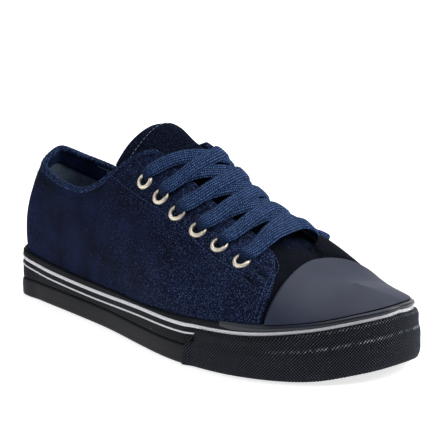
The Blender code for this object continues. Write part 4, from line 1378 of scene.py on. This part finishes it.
# Name, place, target, size, power and colour
lightRows = (
    ("keyLight", (1.15, 1.0, 1.1), (0.0, 0.0, 0.05), (1.0, 0.8), 22.0, "#ffffff"),
    ("fillLight", (-0.6, -1.6, 1.0), (0.0, 0.0, 0.05), (1.4, 1.0), 8.0, "#f6f8ff"),
    ("topLight", (0.1, 0.7, 2.0), (0.0, 0.0, 0.05), (2.2, 1.8), 26.0, "#ffffff"),
    ("glintLight", (1.0, -0.7, 1.7), (0.08, -0.02, 0.05), (0.4, 0.3), 2.5, "#ffffff"),
    ("backLight", (-1.6, 1.57, 1.0), (0.0, 0.0, 0.05), (3.2, 1.8), 16.0, "#f4f7ff"),
)


def addObject(name, data):
    thing = bpy.data.objects.new(name, data)
    bpy.context.scene.collection.objects.link(thing)
    return thing


def makeFloor():
    # A pale table top: it ends a little in front of the shoe and runs far behind it
    turn = np.radians(cameraLook["azimuth"])
    ahead = np.array([np.sin(turn), -np.cos(turn), 0.0])
    aside = np.array([np.cos(turn), np.sin(turn), 0.0]) * floorLook["side"]
    front, back = ahead * floorLook["front"], -ahead * floorLook["back"]
    corners = (front - aside, front + aside, back + aside, back - aside)
    mesh = bpy.data.meshes.new("floor")
    mesh.from_pydata([tuple(corner) for corner in corners], [], [(0, 1, 2, 3)])
    looks = {"Base Color": linear(floorLook["color"]), "Emission Color": (1.0, 1.0, 1.0, 1.0),
             "Emission Strength": floorLook["glow"]}
    mesh.materials.append(newMaterial("paleFloor", 0.9, 0.1, looks)[0])
    addObject("floor", mesh)


def addLight(name, place, target, size, power, color):
    data = bpy.data.lights.new(name, "AREA")
    data.shape = "RECTANGLE"
    data.size, data.size_y = size
    data.energy = power
    data.color = linear(color)[:3]
    light = addObject(name, data)
    light.location = place
    light.rotation_euler = (Vector(place) - Vector(target)).to_track_quat("Z", "Y").to_euler()


def makeCamera():
    turn, rise = np.radians(cameraLook["azimuth"]), np.radians(cameraLook["elevation"])
    back = Vector((np.sin(turn) * np.cos(rise), -np.cos(turn) * np.cos(rise), np.sin(rise)))
    data = bpy.data.cameras.new("camera")
    data.lens = cameraLook["lens"]
    data.sensor_width = cameraLook["sensor"]
    data.clip_end = 30.0
    camera = addObject("camera", data)
    camera.location = Vector(cameraLook["target"]) + back * cameraLook["distance"]
    camera.rotation_euler = back.to_track_quat("Z", "Y").to_euler()
    bpy.context.scene.camera = camera


makeFloor()
for lightRow in lightRows:
    addLight(*lightRow)
world = bpy.context.scene.world or bpy.data.worlds.new("world")
bpy.context.scene.world = world
world.use_nodes = True
world.node_tree.nodes["Background"].inputs["Color"].default_value = linear(worldLook["color"])
world.node_tree.nodes["Background"].inputs["Strength"].default_value = worldLook["strength"]
makeCamera()
bpy.context.scene.view_settings.view_transform = "Standard"
print("stage made")
